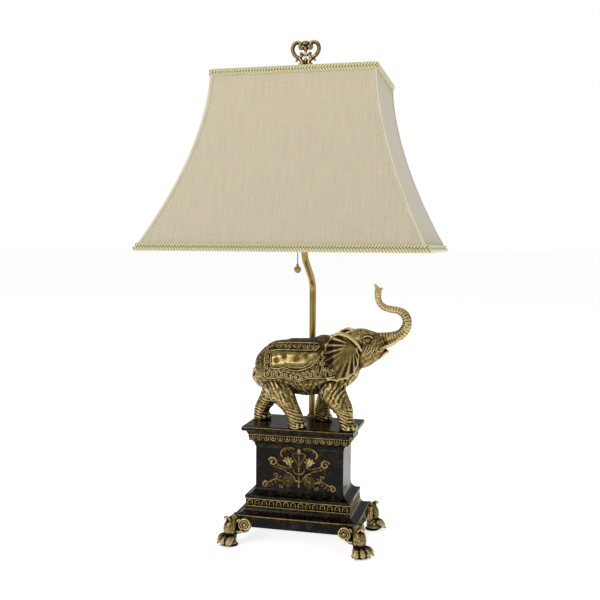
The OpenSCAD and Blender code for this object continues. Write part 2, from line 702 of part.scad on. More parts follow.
// The right half of the harp's wire, from the saddle to the top, as points [x, z]
harp_line = concat([[harp_foot_x, harp_base_z]],
    arc(harp_foot_x + harp_low_r, harp_straight_z, harp_low_r, 180, 180 - harp_flare_a, 5),
    arc(harp_x - harp_mid_r, harp_z3, harp_mid_r, -harp_flare_a, 0, 5),
    arc(harp_x - harp_top_r, harp_arc_z, harp_top_r, 0, 90, 12));

module harp() {
    r = harp_d / 2;
    n = len(harp_line);
    color(brass) limb(concat([for (p = harp_line) [p[0], 0, p[1], r, r]],
        [for (k = [n - 1:-1:0]) [-harp_line[k][0], 0, harp_line[k][1], r, r]]), 16, 1);
}

stud_shoulder_z = harp_top_z + 3.5;

module harp_stud() {
    color(brass) {
        difference() {
            cylinder_at(0, 0, harp_top_z - harp_d - 1, 4.6, harp_d + 4.5);
            translate([0, 0, harp_top_z - harp_d / 2]) rotate([0, 90, 0]) translate([0, 0, -20])
                cylinder(d = harp_d, h = 40, $fn = 32);
        }
        cylinder_at(0, 0, stud_shoulder_z, 3.1, 13);
    }
}

sleeve_z = saddle_z + 14.4;
sleeve_h = 13;

module harp_sleeve(s) {
    color(brass) translate([s * harp_foot_x, 0, sleeve_z]) difference() {
        rotate_extrude($fn = 40) polygon([[harp_d / 2 + 0.06, 0], [3.5, 0], [3.9, 1], [3.9, 3], [3.2, 4],
            [3.2, sleeve_h - 2], [2.6, sleeve_h], [harp_d / 2 + 0.06, sleeve_h]]);
    }
}

module harp_sleeve_left() { harp_sleeve(-1); }
module harp_sleeve_right() { harp_sleeve(1); }

// ---- Bulb ----

bulb_z = screw_z + 1.6;

module bulb_base() {
    color("silver") translate([0, 0, bulb_z]) rotate_extrude($fn = 96)
        polygon([[0, 0], [3.8, 0], [4.4, 1.4], [8, 3], [12.6, 4], [12.6, 26], [0, 26]]);
}

// The outline of the bulb's glass, less t all round, from the neck to the top
function bulb_line(t) = let (low = bulb_z + 26.2, belly_z = low + 52, r = bulb_d / 2) concat(
    [[13 - t, low]],
    [for (k = [0:8]) let (u = k / 8)
        [13.5 - t + (r * 0.94 - 13.5) * (0.5 - 0.5 * cos(180 * u)), low + 3 + (belly_z - low - 13) * u]],
    [for (a = [-10:10:90]) [(r - t) * cos(a), belly_z + (r - t) * sin(a)]]);

module bulb_glass() {
    inner = bulb_line(0.8);
    color([1, 1, 1, 0.5]) rotate_extrude($fn = 96)
        polygon(concat(bulb_line(0), [for (k = [len(inner) - 1:-1:0]) inner[k]]));
}

// ---- Shade ----

shade_h = shade_top_z - shade_bottom_z;

// Half width of the shade at height z
function shade_half(z) = shade_top_w / 2
    + shade_flare / 2 * pow(max(0, shade_top_z - z) / shade_h, bell_power);

// The strip between offsets near and far outside the fabric, as points [half width, z]
function shade_strip(near, far, low, high, n = 20) = concat(
    [for (k = [0:n]) let (z = low + (high - low) * k / n) [shade_half(z) + far, z]],
    [for (k = [n:-1:0]) let (z = low + (high - low) * k / n) [shade_half(z) + near, z]]);

// The part of the plan that belongs to one side: between its mitres, less a margin at each
module side_sector(long_side, near_margin, far_margin) {
    half = shade_depth_less / 2;
    big = 400;
    function edge(m) = long_side ? [[0, -half - m], [big, -big - half - m], [-big, -big - half - m]]
        : [[half + m, 0], [big + half + m, -big], [big + half + m, big]];
    difference() {
        polygon(long_side ? [[half - near_margin, 0], [big + half - near_margin, -big],
                [-big - half + near_margin, -big], [-half + near_margin, 0]] : edge(near_margin));
        if (far_margin > 0)
            polygon(long_side ? [[half - far_margin, 0], [big + half - far_margin, -big],
                [-big - half + far_margin, -big], [-half + far_margin, 0]] : edge(far_margin));
    }
}

// One side of the shade, for the front (turn 0), right (1), back (2) or left (3)
module shade_side(turn, near, far, low, high, near_margin = 0.15, far_margin = 0, steps = 20) {
    long_side = turn % 2 == 0;
    strip = shade_strip(near, far, low, high, steps);
    rotate([0, 0, turn >= 2 ? 180 : 0]) intersection() {
        if (long_side)
            rotate([90, 0, -90]) linear_extrude(height = 500, center = true)
                polygon([for (p = strip) [p[0] - shade_depth_less / 2, p[1]]]);
        else
            rotate([90, 0, 0]) linear_extrude(height = 500, center = true) polygon(strip);
        translate([0, 0, low - 5]) linear_extrude(height = high - low + 10)
            side_sector(long_side, near_margin, far_margin);
    }
}

module shade_panel(turn) {
    color(cloth) shade_side(turn, 0, fabric_t, shade_bottom_z, shade_top_z);
}

module shade_panel_front() { shade_panel(0); }
module shade_panel_right() { shade_panel(1); }
module shade_panel_back() { shade_panel(2); }
module shade_panel_left() { shade_panel(3); }

lining_in = 3.6;

module shade_lining() {
    color("white") for (t = [0:3])
        shade_side(t, -lining_in - 0.4, -lining_in, shade_bottom_z + 1, spider_z - 0.4, 0.5);
}

module shade_corner_tapes() {
    color(cloth) for (t = [0:3])
        shade_side(t, fabric_t + 0.05, fabric_t + 0.6, shade_bottom_z + braid_h - 1.1,
            shade_top_z - braid_h + 3, 0.05, tape_w);
}

// A braid is a flat rectangular ring around the outside of the shade
module braid(low, high) {
    out = fabric_t + 0.1;
    color(cloth) for (t = [0:3])
        shade_side(t, out, out + 2.4, low, high, 0.02, 0, 2);
}

module shade_braid_top() { braid(shade_top_z - braid_h + 3.2, shade_top_z + 2); }
module shade_braid_bottom() { braid(shade_bottom_z - 1, shade_bottom_z + braid_h - 1.2); }

wire_d = 2.4;

// A rectangle of four round wires at height z, just inside the fabric
module wire_rectangle(z, inset) {
    x = shade_half(z) - inset;
    y = x - shade_depth_less / 2;
    for (s = [-1, 1]) {
        translate([-x, s * y, z]) rotate([0, 90, 0]) cylinder(d = wire_d, h = 2 * x, $fn = 24);
        translate([s * x, -y, z]) rotate([-90, 0, 0]) cylinder(d = wire_d, h = 2 * y, $fn = 24);
    }
}

wire_inset = 1.9;
top_wire_z = shade_top_z - 3.2;
bottom_wire_z = shade_bottom_z + 2.2;

module shade_top_wire() { color("silver") wire_rectangle(top_wire_z, wire_inset); }
module shade_bottom_wire() { color("silver") wire_rectangle(bottom_wire_z, wire_inset); }

module shade_ribs() {
    n = 20;
    low = bottom_wire_z + wire_d / 2;
    high = top_wire_z - wire_d / 2;
    half = shade_depth_less / 2;
    out = [for (k = [0:n]) let (z = low + (high - low) * k / n)
        [(shade_half(z) - half - wire_inset) * sqrt(2), z]];
    color("silver") for (sx = [-1, 1], sy = [-1, 1]) translate([sx * half, 0, 0])
        rotate([0, 0, atan2(sy, sx)]) rotate([90, 0, 0])
            linear_extrude(height = wire_d, center = true)
                polygon(concat([for (p = out) [p[0] + wire_d / 2, p[1]]],
                    [for (k = [n:-1:0]) [out[k][0] - wire_d / 2, out[k][1]]]));
}

spider_z = stud_shoulder_z + 0.3;
spider_t = 1.6;

module shade_spider() {
    x = shade_half(top_wire_z) - wire_inset - wire_d / 2;
    y = x - shade_depth_less / 2;
    color(brass) difference() {
        union() {
            cylinder_at(0, 0, spider_z, 14, spider_t);
            for (a = [0, 180]) rotate([0, 0, a]) translate([8, -3, spider_z]) cube([x - 8, 6, spider_t]);
            for (a = [90, 270]) rotate([0, 0, a]) translate([8, -3, spider_z]) cube([y - 8, 6, spider_t]);
            for (a = [0, 180]) rotate([0, 0, a]) translate([x - 1.6, -3, spider_z])
                cube([1.6, 6, top_wire_z - spider_z + 1]);
            for (a = [90, 270]) rotate([0, 0, a]) translate([y - 1.6, -3, spider_z])
                cube([1.6, 6, top_wire_z - spider_z + 1]);
        }
        cylinder_at(0, 0, spider_z - 1, 3.6, 6);
    }
}

// ---- Finial ----

finial_z = spider_z + spider_t + 0.3;

module finial_nut() {
    color(brass) translate([0, 0, finial_z]) difference() {
        rotate_extrude($fn = 64) polygon([[0, 0], [7.5, 0], [8, 1.2], [6.4, 3], [5.6, 6], [5.6, 12],
            [7, 13.4], [7, 15], [5, 16.4], [0, 16.4]]);
        translate([0, 0, -1]) cylinder(r = 3.2, h = 14, $fn = 40);
    }
}

module scroll_ring(x, z, r, w) {
    translate([x, z]) difference() {
        circle(r = r, $fn = 48);
        circle(r = r - w, $fn = 48);
    }
}

module finial() {
    base = finial_z + 16.4;
    color(brass) rotate([90, 0, 0]) linear_extrude(height = scroll_t, center = true) {
        polygon([[-6, base], [6, base], [3.4, base + 5], [5.5, base + 9], [-5.5, base + 9], [-3.4, base + 5]]);
        for (m = [0, 1]) mirror([m, 0]) {
            scroll_ring(12.6, finial_top_z - 16.5, 9.4, 3.6);
            scroll_ring(7, base + 10, 6, 3);
            scroll_ring(5.4, finial_top_z - 8, 6, 2.8);
            translate([10.6, finial_top_z - 27]) circle(r = 3, $fn = 24);
            translate([13.2, finial_top_z - 16.5]) circle(r = 3, $fn = 24);
        }
        translate([0, finial_top_z - 5]) circle(r = 5, $fn = 32);
        translate([-2, base]) square([4, finial_top_z - 8 - base]);
    }
}

felt_pads();
foot_front_left();
foot_front_right();
foot_back_left();
foot_back_right();
foot_screws();
plinth();
bottom_plate();
bottom_plate_screws();
cord_bush();
lower_gilt_band();
pedestal_die();
panel_relief();
cornice();
upper_gilt_band();
top_slab();
tie_rod();
tie_nut();
elephant();
elephant_tusks();
elephant_screws();
stem_insert();
stem_collar();
stem();
harp_saddle();
socket_cap();
socket_shell();
socket_liner();
switch_block();
screw_shell();
centre_contact();
chain_bell();
chain_link();
pull_chain();
chain_ball();
harp();
harp_stud();
harp_sleeve_left();
harp_sleeve_right();
bulb_base();
bulb_glass();
shade_spider();
shade_top_wire();
shade_bottom_wire();
shade_ribs();
shade_panel_front();
shade_panel_back();
shade_panel_left();
shade_panel_right();
shade_lining();
shade_corner_tapes();
shade_braid_top();
shade_braid_bottom();
finial_nut();
finial();
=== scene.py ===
import json
import math

import bpy
import bmesh
import numpy as np
from bpy.props import FloatProperty, FloatVectorProperty, IntProperty, PointerProperty
from mathutils import Matrix, Vector, noise
from mathutils.bvhtree import BVHTree

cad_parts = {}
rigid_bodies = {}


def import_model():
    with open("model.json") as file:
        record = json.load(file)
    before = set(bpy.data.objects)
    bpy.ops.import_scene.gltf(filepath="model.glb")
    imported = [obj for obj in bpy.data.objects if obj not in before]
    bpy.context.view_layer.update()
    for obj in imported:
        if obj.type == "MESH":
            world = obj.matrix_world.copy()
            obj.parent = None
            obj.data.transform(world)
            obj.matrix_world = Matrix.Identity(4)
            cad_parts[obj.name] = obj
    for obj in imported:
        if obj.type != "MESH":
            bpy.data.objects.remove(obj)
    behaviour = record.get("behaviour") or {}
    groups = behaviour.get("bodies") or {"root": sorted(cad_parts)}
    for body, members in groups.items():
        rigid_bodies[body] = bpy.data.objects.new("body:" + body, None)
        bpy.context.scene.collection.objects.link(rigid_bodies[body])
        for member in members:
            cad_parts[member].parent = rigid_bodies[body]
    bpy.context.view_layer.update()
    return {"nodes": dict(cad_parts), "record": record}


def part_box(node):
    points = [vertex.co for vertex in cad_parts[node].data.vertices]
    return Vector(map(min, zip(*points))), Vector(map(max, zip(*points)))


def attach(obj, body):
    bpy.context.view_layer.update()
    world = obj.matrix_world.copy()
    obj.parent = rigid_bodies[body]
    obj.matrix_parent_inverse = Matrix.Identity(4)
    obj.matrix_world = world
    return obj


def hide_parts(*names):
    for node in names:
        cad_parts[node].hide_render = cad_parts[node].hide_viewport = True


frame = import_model()

bl_info = {
    "name": "Elephant table lamp",
    "version": (1, 0, 0),
    "blender": (4, 5, 0),
    "location": "View3D > Sidebar > Lamp",
    "description": "Builds the visible pieces of a table lamp around its solid model",
    "category": "Add Mesh",
}

MM = 0.001


# ---------------------------------------------------------------- sizes read from the frame

def low(node_name):
    """The least x, y and z of a solid."""
    return Vector(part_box(node_name)[0])


def high(node_name):
    """The greatest x, y and z of a solid."""
    return Vector(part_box(node_name)[1])


PEDESTAL_Y = (low("pedestal_die").y + high("pedestal_die").y) / 2
GROUND_Z = high("top_slab").z


# ---------------------------------------------------------------- user settings

class LampShadeSettings(bpy.types.PropertyGroup):
    """Shape of the shade's cloth, lay of its braid and colour of its silk"""

    bell_power: FloatProperty(
        name="Bell power", description="Curve of the sides: 1 is straight", default=1.7)
    puff: FloatProperty(
        name="Pucker", description="Depth of the faint ripples in the stretched cloth",
        default=0.25 * MM, unit="LENGTH")
    cord_lay: FloatProperty(
        name="Braid lay", description="Length of one twist of a braid cord",
        default=8.4 * MM, unit="LENGTH")
    cloth: FloatVectorProperty(
        name="Cloth colour", description="Colour of the silk", subtype="COLOR",
        default=(0.545, 0.482, 0.342), size=3)


class LampMetalSettings(bpy.types.PropertyGroup):
    """Facets of the stem and thickness of the finial's scrolls"""

    stem_sides: IntProperty(name="Stem sides", description="Facets round the stem", default=48)
    scroll_radius: FloatProperty(
        name="Scroll radius", description="Radius of the finial's thickest scroll",
        default=3.0 * MM, unit="LENGTH")


class LampFigureSettings(bpy.types.PropertyGroup):
    """Resolution and depth of the sculpted castings"""

    grain: FloatProperty(
        name="Sculpting grain", description="Edge length of the sculpted mesh",
        default=1.05 * MM, unit="LENGTH")
    wrinkle_depth: FloatProperty(
        name="Wrinkle depth", description="Depth of the wrinkles in the skin",
        default=0.6 * MM, unit="LENGTH")
    cloth_lift: FloatProperty(
        name="Saddle cloth thickness", description="How far the saddle cloth stands out",
        default=1.0 * MM, unit="LENGTH")


# ---------------------------------------------------------------- mesh helpers

def make_active(obj):
    """Selects one object alone, as the operators of Blender expect."""
    for other in bpy.context.view_layer.objects:
        other.select_set(False)
    obj.hide_set(False)
    obj.select_set(True)
    bpy.context.view_layer.objects.active = obj


def mesh_object(name, verts, faces, smooth=True):
    """A new mesh object at the origin, its place in its mesh."""
    mesh = bpy.data.meshes.new(name)
    mesh.from_pydata([tuple(v) for v in verts], [], [tuple(int(i) for i in f) for f in faces])
    mesh.validate()
    obj = bpy.data.objects.new(name, mesh)
    bpy.context.scene.collection.objects.link(obj)
    if smooth:
        mesh.polygons.foreach_set("use_smooth", [True] * len(mesh.polygons))
    return obj


def apply_modifier(obj, kind, **settings):
    """Adds a modifier with these settings and applies it."""
    make_active(obj)
    modifier = obj.modifiers.new(kind.title(), kind)
    for key, value in settings.items():
        setattr(modifier, key, value)
    bpy.ops.object.modifier_apply(modifier=modifier.name)


def outward(obj):
    """Merges doubles and turns every face to point outwards."""
    make_active(obj)
    bpy.ops.object.mode_set(mode="EDIT")
    bpy.ops.mesh.select_all(action="SELECT")
    bpy.ops.mesh.remove_doubles(threshold=1e-6)
    bpy.ops.mesh.normals_make_consistent(inside=False)
    bpy.ops.object.mode_set(mode="OBJECT")


def crisp(obj, degrees=35):
    """Shades an object smooth, with creases where faces turn by more than this angle."""
    make_active(obj)
    bpy.ops.object.shade_smooth_by_angle(angle=math.radians(degrees))
    return obj


def joined(name, parts):
    """One object from several (verts, faces) parts."""
    verts, faces, start = [], [], 0
    for v, f in parts:
        v = np.asarray(v, float)
        verts.append(v)
        faces.extend([[i + start for i in face] for face in f])
        start += len(v)
    return mesh_object(name, np.concatenate(verts), faces)


def smooth_line(points, steps):
    """A Catmull-Rom curve through points of any size, as an array."""
    p = np.asarray(points, float)
    out = []
    n = len(p) - 1
    for i in range(n):
        a, b, c, d = p[max(i - 1, 0)], p[i], p[i + 1], p[min(i + 2, n)]
        for k in range(steps):
            t = k / steps
            out.append(0.5 * (2 * b + (c - a) * t + (2 * a - 5 * b + 4 * c - d) * t * t
                              + (3 * b - a - 3 * c + d) * t ** 3))
    out.append(p[-1])
    return np.array(out)


def tube(path, radii, sides=10, up=(0, 1, 0), flat=1.0, twist=0.0, lobes=0, lobe_depth=0.0):
    """A closed tube along path. flat scales it along up; lobes with twist make a laid cord."""
    path = np.asarray(path, float)
    n = len(path)
    radii = np.full(n, radii, float) if np.isscalar(radii) else np.asarray(radii, float)
    tangent = np.gradient(path, axis=0)
    tangent /= np.linalg.norm(tangent, axis=1)[:, None] + 1e-12
    up = np.asarray(up, float)
    side = np.cross(tangent, up)
    side /= np.linalg.norm(side, axis=1)[:, None] + 1e-12
    over = np.cross(side, tangent)
    angle = np.linspace(0, 2 * math.pi, sides, endpoint=False)[None, :]
    travelled = np.concatenate([[0], np.cumsum(np.linalg.norm(np.diff(path, axis=0), axis=1))])
    swell = 1 + lobe_depth * np.cos(lobes * (angle - twist * travelled[:, None]))
    ring = radii[:, None] * swell
    verts = (path[:, None, :] + side[:, None, :] * (ring * np.cos(angle))[..., None]
             + over[:, None, :] * (ring * np.sin(angle) * flat)[..., None]).reshape(-1, 3)
    j = np.arange(sides)
    k = (j + 1) % sides
    faces = [[i * sides + a, i * sides + b, (i + 1) * sides + b, (i + 1) * sides + a]
             for i in range(n - 1) for a, b in zip(j, k)]
    faces.append([int(a) for a in j[::-1]])
    faces.append([int((n - 1) * sides + a) for a in j])
    return verts, faces


def closed_tube(path, radius, sides, lay, lobes, depth):
    """A laid cord that closes on itself, round a level path, and how high each vertex stands on it."""
    path = np.asarray(path, float)
    n = len(path)
    tangent = np.roll(path, -1, 0) - np.roll(path, 1, 0)
    tangent /= np.linalg.norm(tangent, axis=1)[:, None]
    side = np.cross(tangent, (0, 0, 1.0))
    side /= np.linalg.norm(side, axis=1)[:, None]
    over = np.cross(side, tangent)
    steps = np.linalg.norm(np.roll(path, -1, 0) - path, axis=1)
    travelled = np.concatenate([[0], np.cumsum(steps)[:-1]])
    turns = round(steps.sum() / lay)
    angle = np.linspace(0, 2 * math.pi, sides, endpoint=False)[None, :]
    phase = 2 * math.pi * turns * travelled[:, None] / steps.sum()
    crown = np.cos(lobes * angle - phase)
    ring = radius * (1 + depth * crown)
    verts = (path[:, None, :] + side[:, None, :] * (ring * np.cos(angle))[..., None]
             + over[:, None, :] * (ring * np.sin(angle))[..., None]).reshape(-1, 3)
    faces = [[i * sides + a, i * sides + (a + 1) % sides, (i + 1) % n * sides + (a + 1) % sides,
              (i + 1) % n * sides + a] for i in range(n) for a in range(sides)]
    return verts, faces, crown.ravel()


def ball(centre, radii, rings=8, sides=12, turn=0.0):
    """An ellipsoid, turned about +Y by turn radians."""
    verts, faces = [], []
    for i in range(1, rings):
        a = math.pi * i / rings
        for j in range(sides):
            b = 2 * math.pi * j / sides
            verts.append((math.sin(a) * math.cos(b), math.sin(a) * math.sin(b), math.cos(a)))
    verts += [(0, 0, 1), (0, 0, -1)]
    verts = np.array(verts) * np.asarray(radii, float)
    c, s = math.cos(turn), math.sin(turn)
    verts = np.stack([verts[:, 0] * c + verts[:, 2] * s, verts[:, 1],
                      -verts[:, 0] * s + verts[:, 2] * c], 1) + np.asarray(centre, float)
    for i in range(rings - 2):
        for j in range(sides):
            k = (j + 1) % sides
            faces.append([i * sides + j, (i + 1) * sides + j, (i + 1) * sides + k, i * sides + k])
    top, bottom = (rings - 1) * sides, (rings - 1) * sides + 1
    for j in range(sides):
        k = (j + 1) % sides
        faces.append([top, j, k])
        faces.append([bottom, (rings - 2) * sides + k, (rings - 2) * sides + j])
    return verts, faces


def arrays(mesh):
    """Vertex places, vertex normals and edges of a mesh as arrays."""
    n = len(mesh.vertices)
    co = np.empty(n * 3)
    mesh.vertices.foreach_get("co", co)
    no = np.empty(n * 3)
    mesh.vertex_normals.foreach_get("vector", no)
    edges = np.empty(len(mesh.edges) * 2, int)
    mesh.edges.foreach_get("vertices", edges)
    return co.reshape(-1, 3), no.reshape(-1, 3), edges.reshape(-1, 2)


def relaxed(values, edges, passes):
    """Values moved towards the mean of their neighbours, passes times."""
    n = len(values)
    values = values.reshape(n, -1)
    degree = np.bincount(edges.ravel(), minlength=n)[:, None] + 1e-9
    for _ in range(passes):
        total = np.stack([np.bincount(edges[:, 0], values[edges[:, 1], k], n)
                          + np.bincount(edges[:, 1], values[edges[:, 0], k], n)
                          for k in range(values.shape[1])], 1)
        values = 0.35 * values + 0.65 * total / degree
    return values


def store_relief(obj, fine=3, broad=14, fine_scale=0.12 * MM, broad_scale=0.45 * MM):
    """Keeps how far each vertex stands proud of its surroundings, where a rag rubs the gilding; the material
    lights the crowns as a painted highlight and darkens the hollows as glaze and painted shade.
    """
    co, no, edges = arrays(obj.data)
    near = ((co - relaxed(co, edges, fine)) * no).sum(1)
    far = ((co - relaxed(co, edges, broad)) * no).sum(1)
    value = np.clip(0.5 + 0.28 * near / fine_scale + 0.5 * far / broad_scale, 0, 1)
    value = relaxed(value, edges, 1)[:, 0]
    layer = obj.data.attributes.new("relief", "FLOAT", "POINT")
    layer.data.foreach_set("value", value)


def glaze_over(obj, amount):
    """Leaves more of the umber glaze on the whole piece."""
    layer = obj.data.attributes["relief"]
    value = np.empty(len(obj.data.vertices))
    layer.data.foreach_get("value", value)
    layer.data.foreach_set("value", np.clip(value - amount, 0, 1))


def noise_at(co, scale, seed=0.0):
    """Smooth noise from -1 to 1 at each point; scale is the size of a blot in metres."""
    offset = Vector((seed, 2 * seed, -seed))
    return np.array([noise.noise(Vector(p) / scale + offset) for p in co])


# ---------------------------------------------------------------- materials

def linear(value):
    """An sRGB hex colour as linear red, green, blue and alpha."""
    value = value.lstrip("#")
    parts = [int(value[i:i + 2], 16) / 255 for i in (0, 2, 4)]
    return [p / 12.92 if p <= 0.04045 else ((p + 0.055) / 1.055) ** 2.4 for p in parts] + [1.0]


def node(tree, kind, links=(), **settings):
    """Adds a shader node. Links are (input, socket) pairs; settings are its properties or inputs."""
    made = tree.nodes.new(kind)
    for key, value in settings.items():
        if hasattr(made, key):
            setattr(made, key, value)
        else:
            made.inputs[key.replace("_", " ").title()].default_value = value
    for socket, source in links:
        tree.links.new(source, made.inputs[socket])
    return made


def ramp(tree, source, stops):
    """A colour ramp; each stop is a place and a hex colour, a grey value or a ready colour."""
    made = node(tree, "ShaderNodeValToRGB", [("Fac", source)])
    elements = made.color_ramp.elements
    while len(elements) > 1:
        elements.remove(elements[-1])
    for k, (place, colour) in enumerate(stops):
        if isinstance(colour, str):
            colour = linear(colour)
        elif isinstance(colour, (int, float)):
            colour = (colour, colour, colour, 1)
        stop = elements.new(place) if k else elements[0]
        stop.position, stop.color = place, colour
    return made.outputs["Color"]


def new_material(name, **sockets):
    """A material with these inputs of its shader set, and the coordinates that its textures use."""
    material = bpy.data.materials.new(name)
    material.use_nodes = True
    tree = material.node_tree
    shader = tree.nodes["Principled BSDF"]
    for key, value in sockets.items():
        shader.inputs[key.replace("_", " ")].default_value = value
    place = node(tree, "ShaderNodeTexCoord").outputs["Object"]
    return material, tree, shader, place


def texture(tree, place, size_mm, stretch=(1, 1, 1), detail=3.0, rough=0.55):
    """A noise whose blots are about size_mm across, stretched along an axis by its factor."""
    mapping = node(tree, "ShaderNodeMapping", [("Vector", place)])
    mapping.inputs["Scale"].default_value = [1 / (size_mm * MM * s) for s in stretch]
    made = node(tree, "ShaderNodeTexNoise", [("Vector", mapping.outputs["Vector"])],
                Scale=1.0, Detail=detail, Roughness=rough)
    return made.outputs["Fac"]


def bump(tree, shader, height, depth_mm, strength):
    """Roughens the shader's normal by a height map."""
    made = node(tree, "ShaderNodeBump", [("Height", height)])
    made.inputs["Distance"].default_value = depth_mm * MM
    made.inputs["Strength"].default_value = strength
    tree.links.new(made.outputs["Normal"], shader.inputs["Normal"])


def mixed(tree, factor, a, b):
    """Colour a moved to colour b by factor; each is a socket or a value."""
    made = node(tree, "ShaderNodeMix", data_type="RGBA")
    for index, value in ((0, factor), (6, a), (7, b)):
        if isinstance(value, bpy.types.NodeSocket):
            tree.links.new(value, made.inputs[index])
        else:
            made.inputs[index].default_value = value
    return made.outputs[2]


def maths(tree, operation, a, b=0.0, clamp=False):
    """One sum of two values; each is a socket or a number."""
    made = node(tree, "ShaderNodeMath", operation=operation, use_clamp=clamp)
    for index, value in ((0, a), (1, b)):
        if isinstance(value, bpy.types.NodeSocket):
            tree.links.new(value, made.inputs[index])
        else:
            made.inputs[index].default_value = value
    return made.outputs[0]


def weighted(tree, *parts):
    """The sum of several sockets, each times its share."""
    total = None
    for source, share in parts:
        part = maths(tree, "MULTIPLY", source, share)
        total = maths(tree, "ADD", total, part) if total else part
    return total


def shifted(tree, level, source, middle, amount):
    """A level moved up or down as source stands above or below its middle."""
    swing = maths(tree, "MULTIPLY", maths(tree, "SUBTRACT", source, middle), amount)
    return maths(tree, "ADD", level, swing)


def relief_of(tree):
    """How far the surface stands proud, from 0 to 1, as store_relief and store_lift keep it."""
    return node(tree, "ShaderNodeAttribute", attribute_name="relief").outputs["Fac"]


def drive(tree, shader, **inputs):
    """Links sockets to inputs of the shader; an underscore in a name stands for a space."""
    for name, source in inputs.items():
        tree.links.new(source, shader.inputs[name.replace("_", " ")])


def gilt_resin():
    """Gold leaf over cast resin: bright where a rag has rubbed it, with a painted highlight on the crowns;
    umber glaze with painted shade in the recesses, and painted shade from ambient occlusion in creases and
    between parts.
    """
    material, tree, shader, place = new_material("antique gold leaf", Metallic=0.82)
    relief = relief_of(tree)
    blot = texture(tree, place, 9, detail=4)
    speck = texture(tree, place, 0.9, detail=2)
    level = shifted(tree, shifted(tree, relief, blot, 0.5, 0.42), speck, 0.5, 0.22)
    # Painted shade: ambient occlusion darkens the colour in creases, recesses and between parts.
    hollow = node(tree, "ShaderNodeAmbientOcclusion", samples=4, Distance=9 * MM)
    level = shifted(tree, level, hollow.outputs["AO"], 0.80, 0.75)
    # The ramp runs from glaze and painted shade in the hollows to rubbed gilding and a painted highlight on
    # the crowns.
    drive(tree, shader,
          Base_Color=ramp(tree, level, [(0.20, "#060401"), (0.40, "#1d1506"), (0.54, "#433516"),
                                        (0.70, "#735f30"), (0.94, "#c6b07a")]),
          Roughness=ramp(tree, level, [(0.25, 0.62), (0.5, 0.40), (0.8, 0.30)]))
    bump(tree, shader, speck, 0.12, 0.6)
    return material


def black_lacquer():
    """Black lacquer over cast resin, polished, with thin umber veins and rubbed gold edges."""
    material, tree, shader, place = new_material("black marbled lacquer", Specular_IOR_Level=0.12)
    cloud = texture(tree, place, 34, detail=6, rough=0.68)
    vein = maths(tree, "ABSOLUTE", maths(tree, "SUBTRACT", cloud, 0.5))
    veined = ramp(tree, vein, [(0.0, "#3d2b12"), (0.012, "#171008"), (0.04, "#050403")])
    flecked = ramp(tree, texture(tree, place, 2.2, detail=2), [(0.60, 0), (0.72, 1)])
    body = mixed(tree, maths(tree, "MULTIPLY", flecked, 0.14), veined, linear("#33260f"))
    soft = node(tree, "ShaderNodeBevel", samples=6, Radius=1.1 * MM)
    sharp = node(tree, "ShaderNodeNewGeometry").outputs["Normal"]
    turn = node(tree, "ShaderNodeVectorMath", [(0, soft.outputs["Normal"]), (1, sharp)],
                operation="DOT_PRODUCT").outputs["Value"]
    edge = maths(tree, "MULTIPLY", maths(tree, "SUBTRACT", 0.992, turn), 9.0, clamp=True)
    patchy = ramp(tree, texture(tree, place, 5, detail=3), [(0.42, 0), (0.60, 1)])
    rubbed = maths(tree, "MULTIPLY", maths(tree, "MULTIPLY", edge, patchy), 0.75)
    smear = texture(tree, place, 16, detail=4)
    drive(tree, shader, Base_Color=mixed(tree, rubbed, body, linear("#8a7345")),
          Metallic=maths(tree, "MULTIPLY", rubbed, 0.7),
          Roughness=ramp(tree, smear, [(0.3, 0.13), (0.7, 0.27)]))
    bump(tree, shader, cloud, 0.35, 0.25)
    return material


def antique_brass():
    """Brass tube, brushed along its length, darkened and lacquered."""
    material, tree, shader, place = new_material("brushed antique brass", Metallic=1.0)
    line = texture(tree, place, 0.8, (1, 1, 60), detail=2)
    cloud = texture(tree, place, 18, detail=4)
    level = weighted(tree, (line, 0.75), (cloud, 0.25))
    drive(tree, shader,
          Base_Color=ramp(tree, level, [(0.25, "#7a6531"), (0.5, "#988044"), (0.75, "#b59e62")]),
          Roughness=ramp(tree, line, [(0.3, 0.24), (0.7, 0.42)]))
    bump(tree, shader, line, 0.05, 0.4)
    return material


def raw_silk(colour):
    """Raw silk: upright threads with slubs, crossed by a fainter weft, all drawn coarse enough to show."""
    material, tree, shader, _ = new_material("slubbed raw silk", Roughness=0.72, Sheen_Weight=0.35,
                                             Sheen_Roughness=0.4)
    place = node(tree, "ShaderNodeUVMap", uv_map="weave").outputs["UV"]
    thread = texture(tree, place, 1.2, (1, 34, 1), detail=3, rough=0.6)
    slub = texture(tree, place, 2.4, (1, 30, 1), detail=3, rough=0.7)
    weft = texture(tree, place, 1.4, (14, 1, 1), detail=2)
    band = texture(tree, place, 22, (1, 9, 1), detail=2)
    dark, base, pale = ([min(1, c * share) for c in colour] + [1.0] for share in (0.80, 1.0, 1.13))
    level = weighted(tree, (thread, 0.45), (slub, 0.27), (weft, 0.28))
    threads = ramp(tree, level, [(0.32, dark), (0.5, base), (0.70, pale)])
    drive(tree, shader, Base_Color=mixed(tree, maths(tree, "MULTIPLY", band, 0.16), threads, dark))
    bump(tree, shader, weighted(tree, (thread, 0.6), (weft, 0.4)), 0.16, 0.55)
    return material


def braid_cotton(name, pale, dark):
    """Twisted viscose cord: each twist catches the light on its crown and is shaded in its lay."""
    material, tree, shader, place = new_material(name, Roughness=0.6, Sheen_Weight=0.4)
    fibre = texture(tree, place, 0.5, detail=2)
    level = shifted(tree, relief_of(tree), fibre, 0.5, 0.3)
    drive(tree, shader, Base_Color=ramp(tree, level, [(0.28, dark), (0.62, pale)]))
    bump(tree, shader, fibre, 0.1, 0.5)
    return material


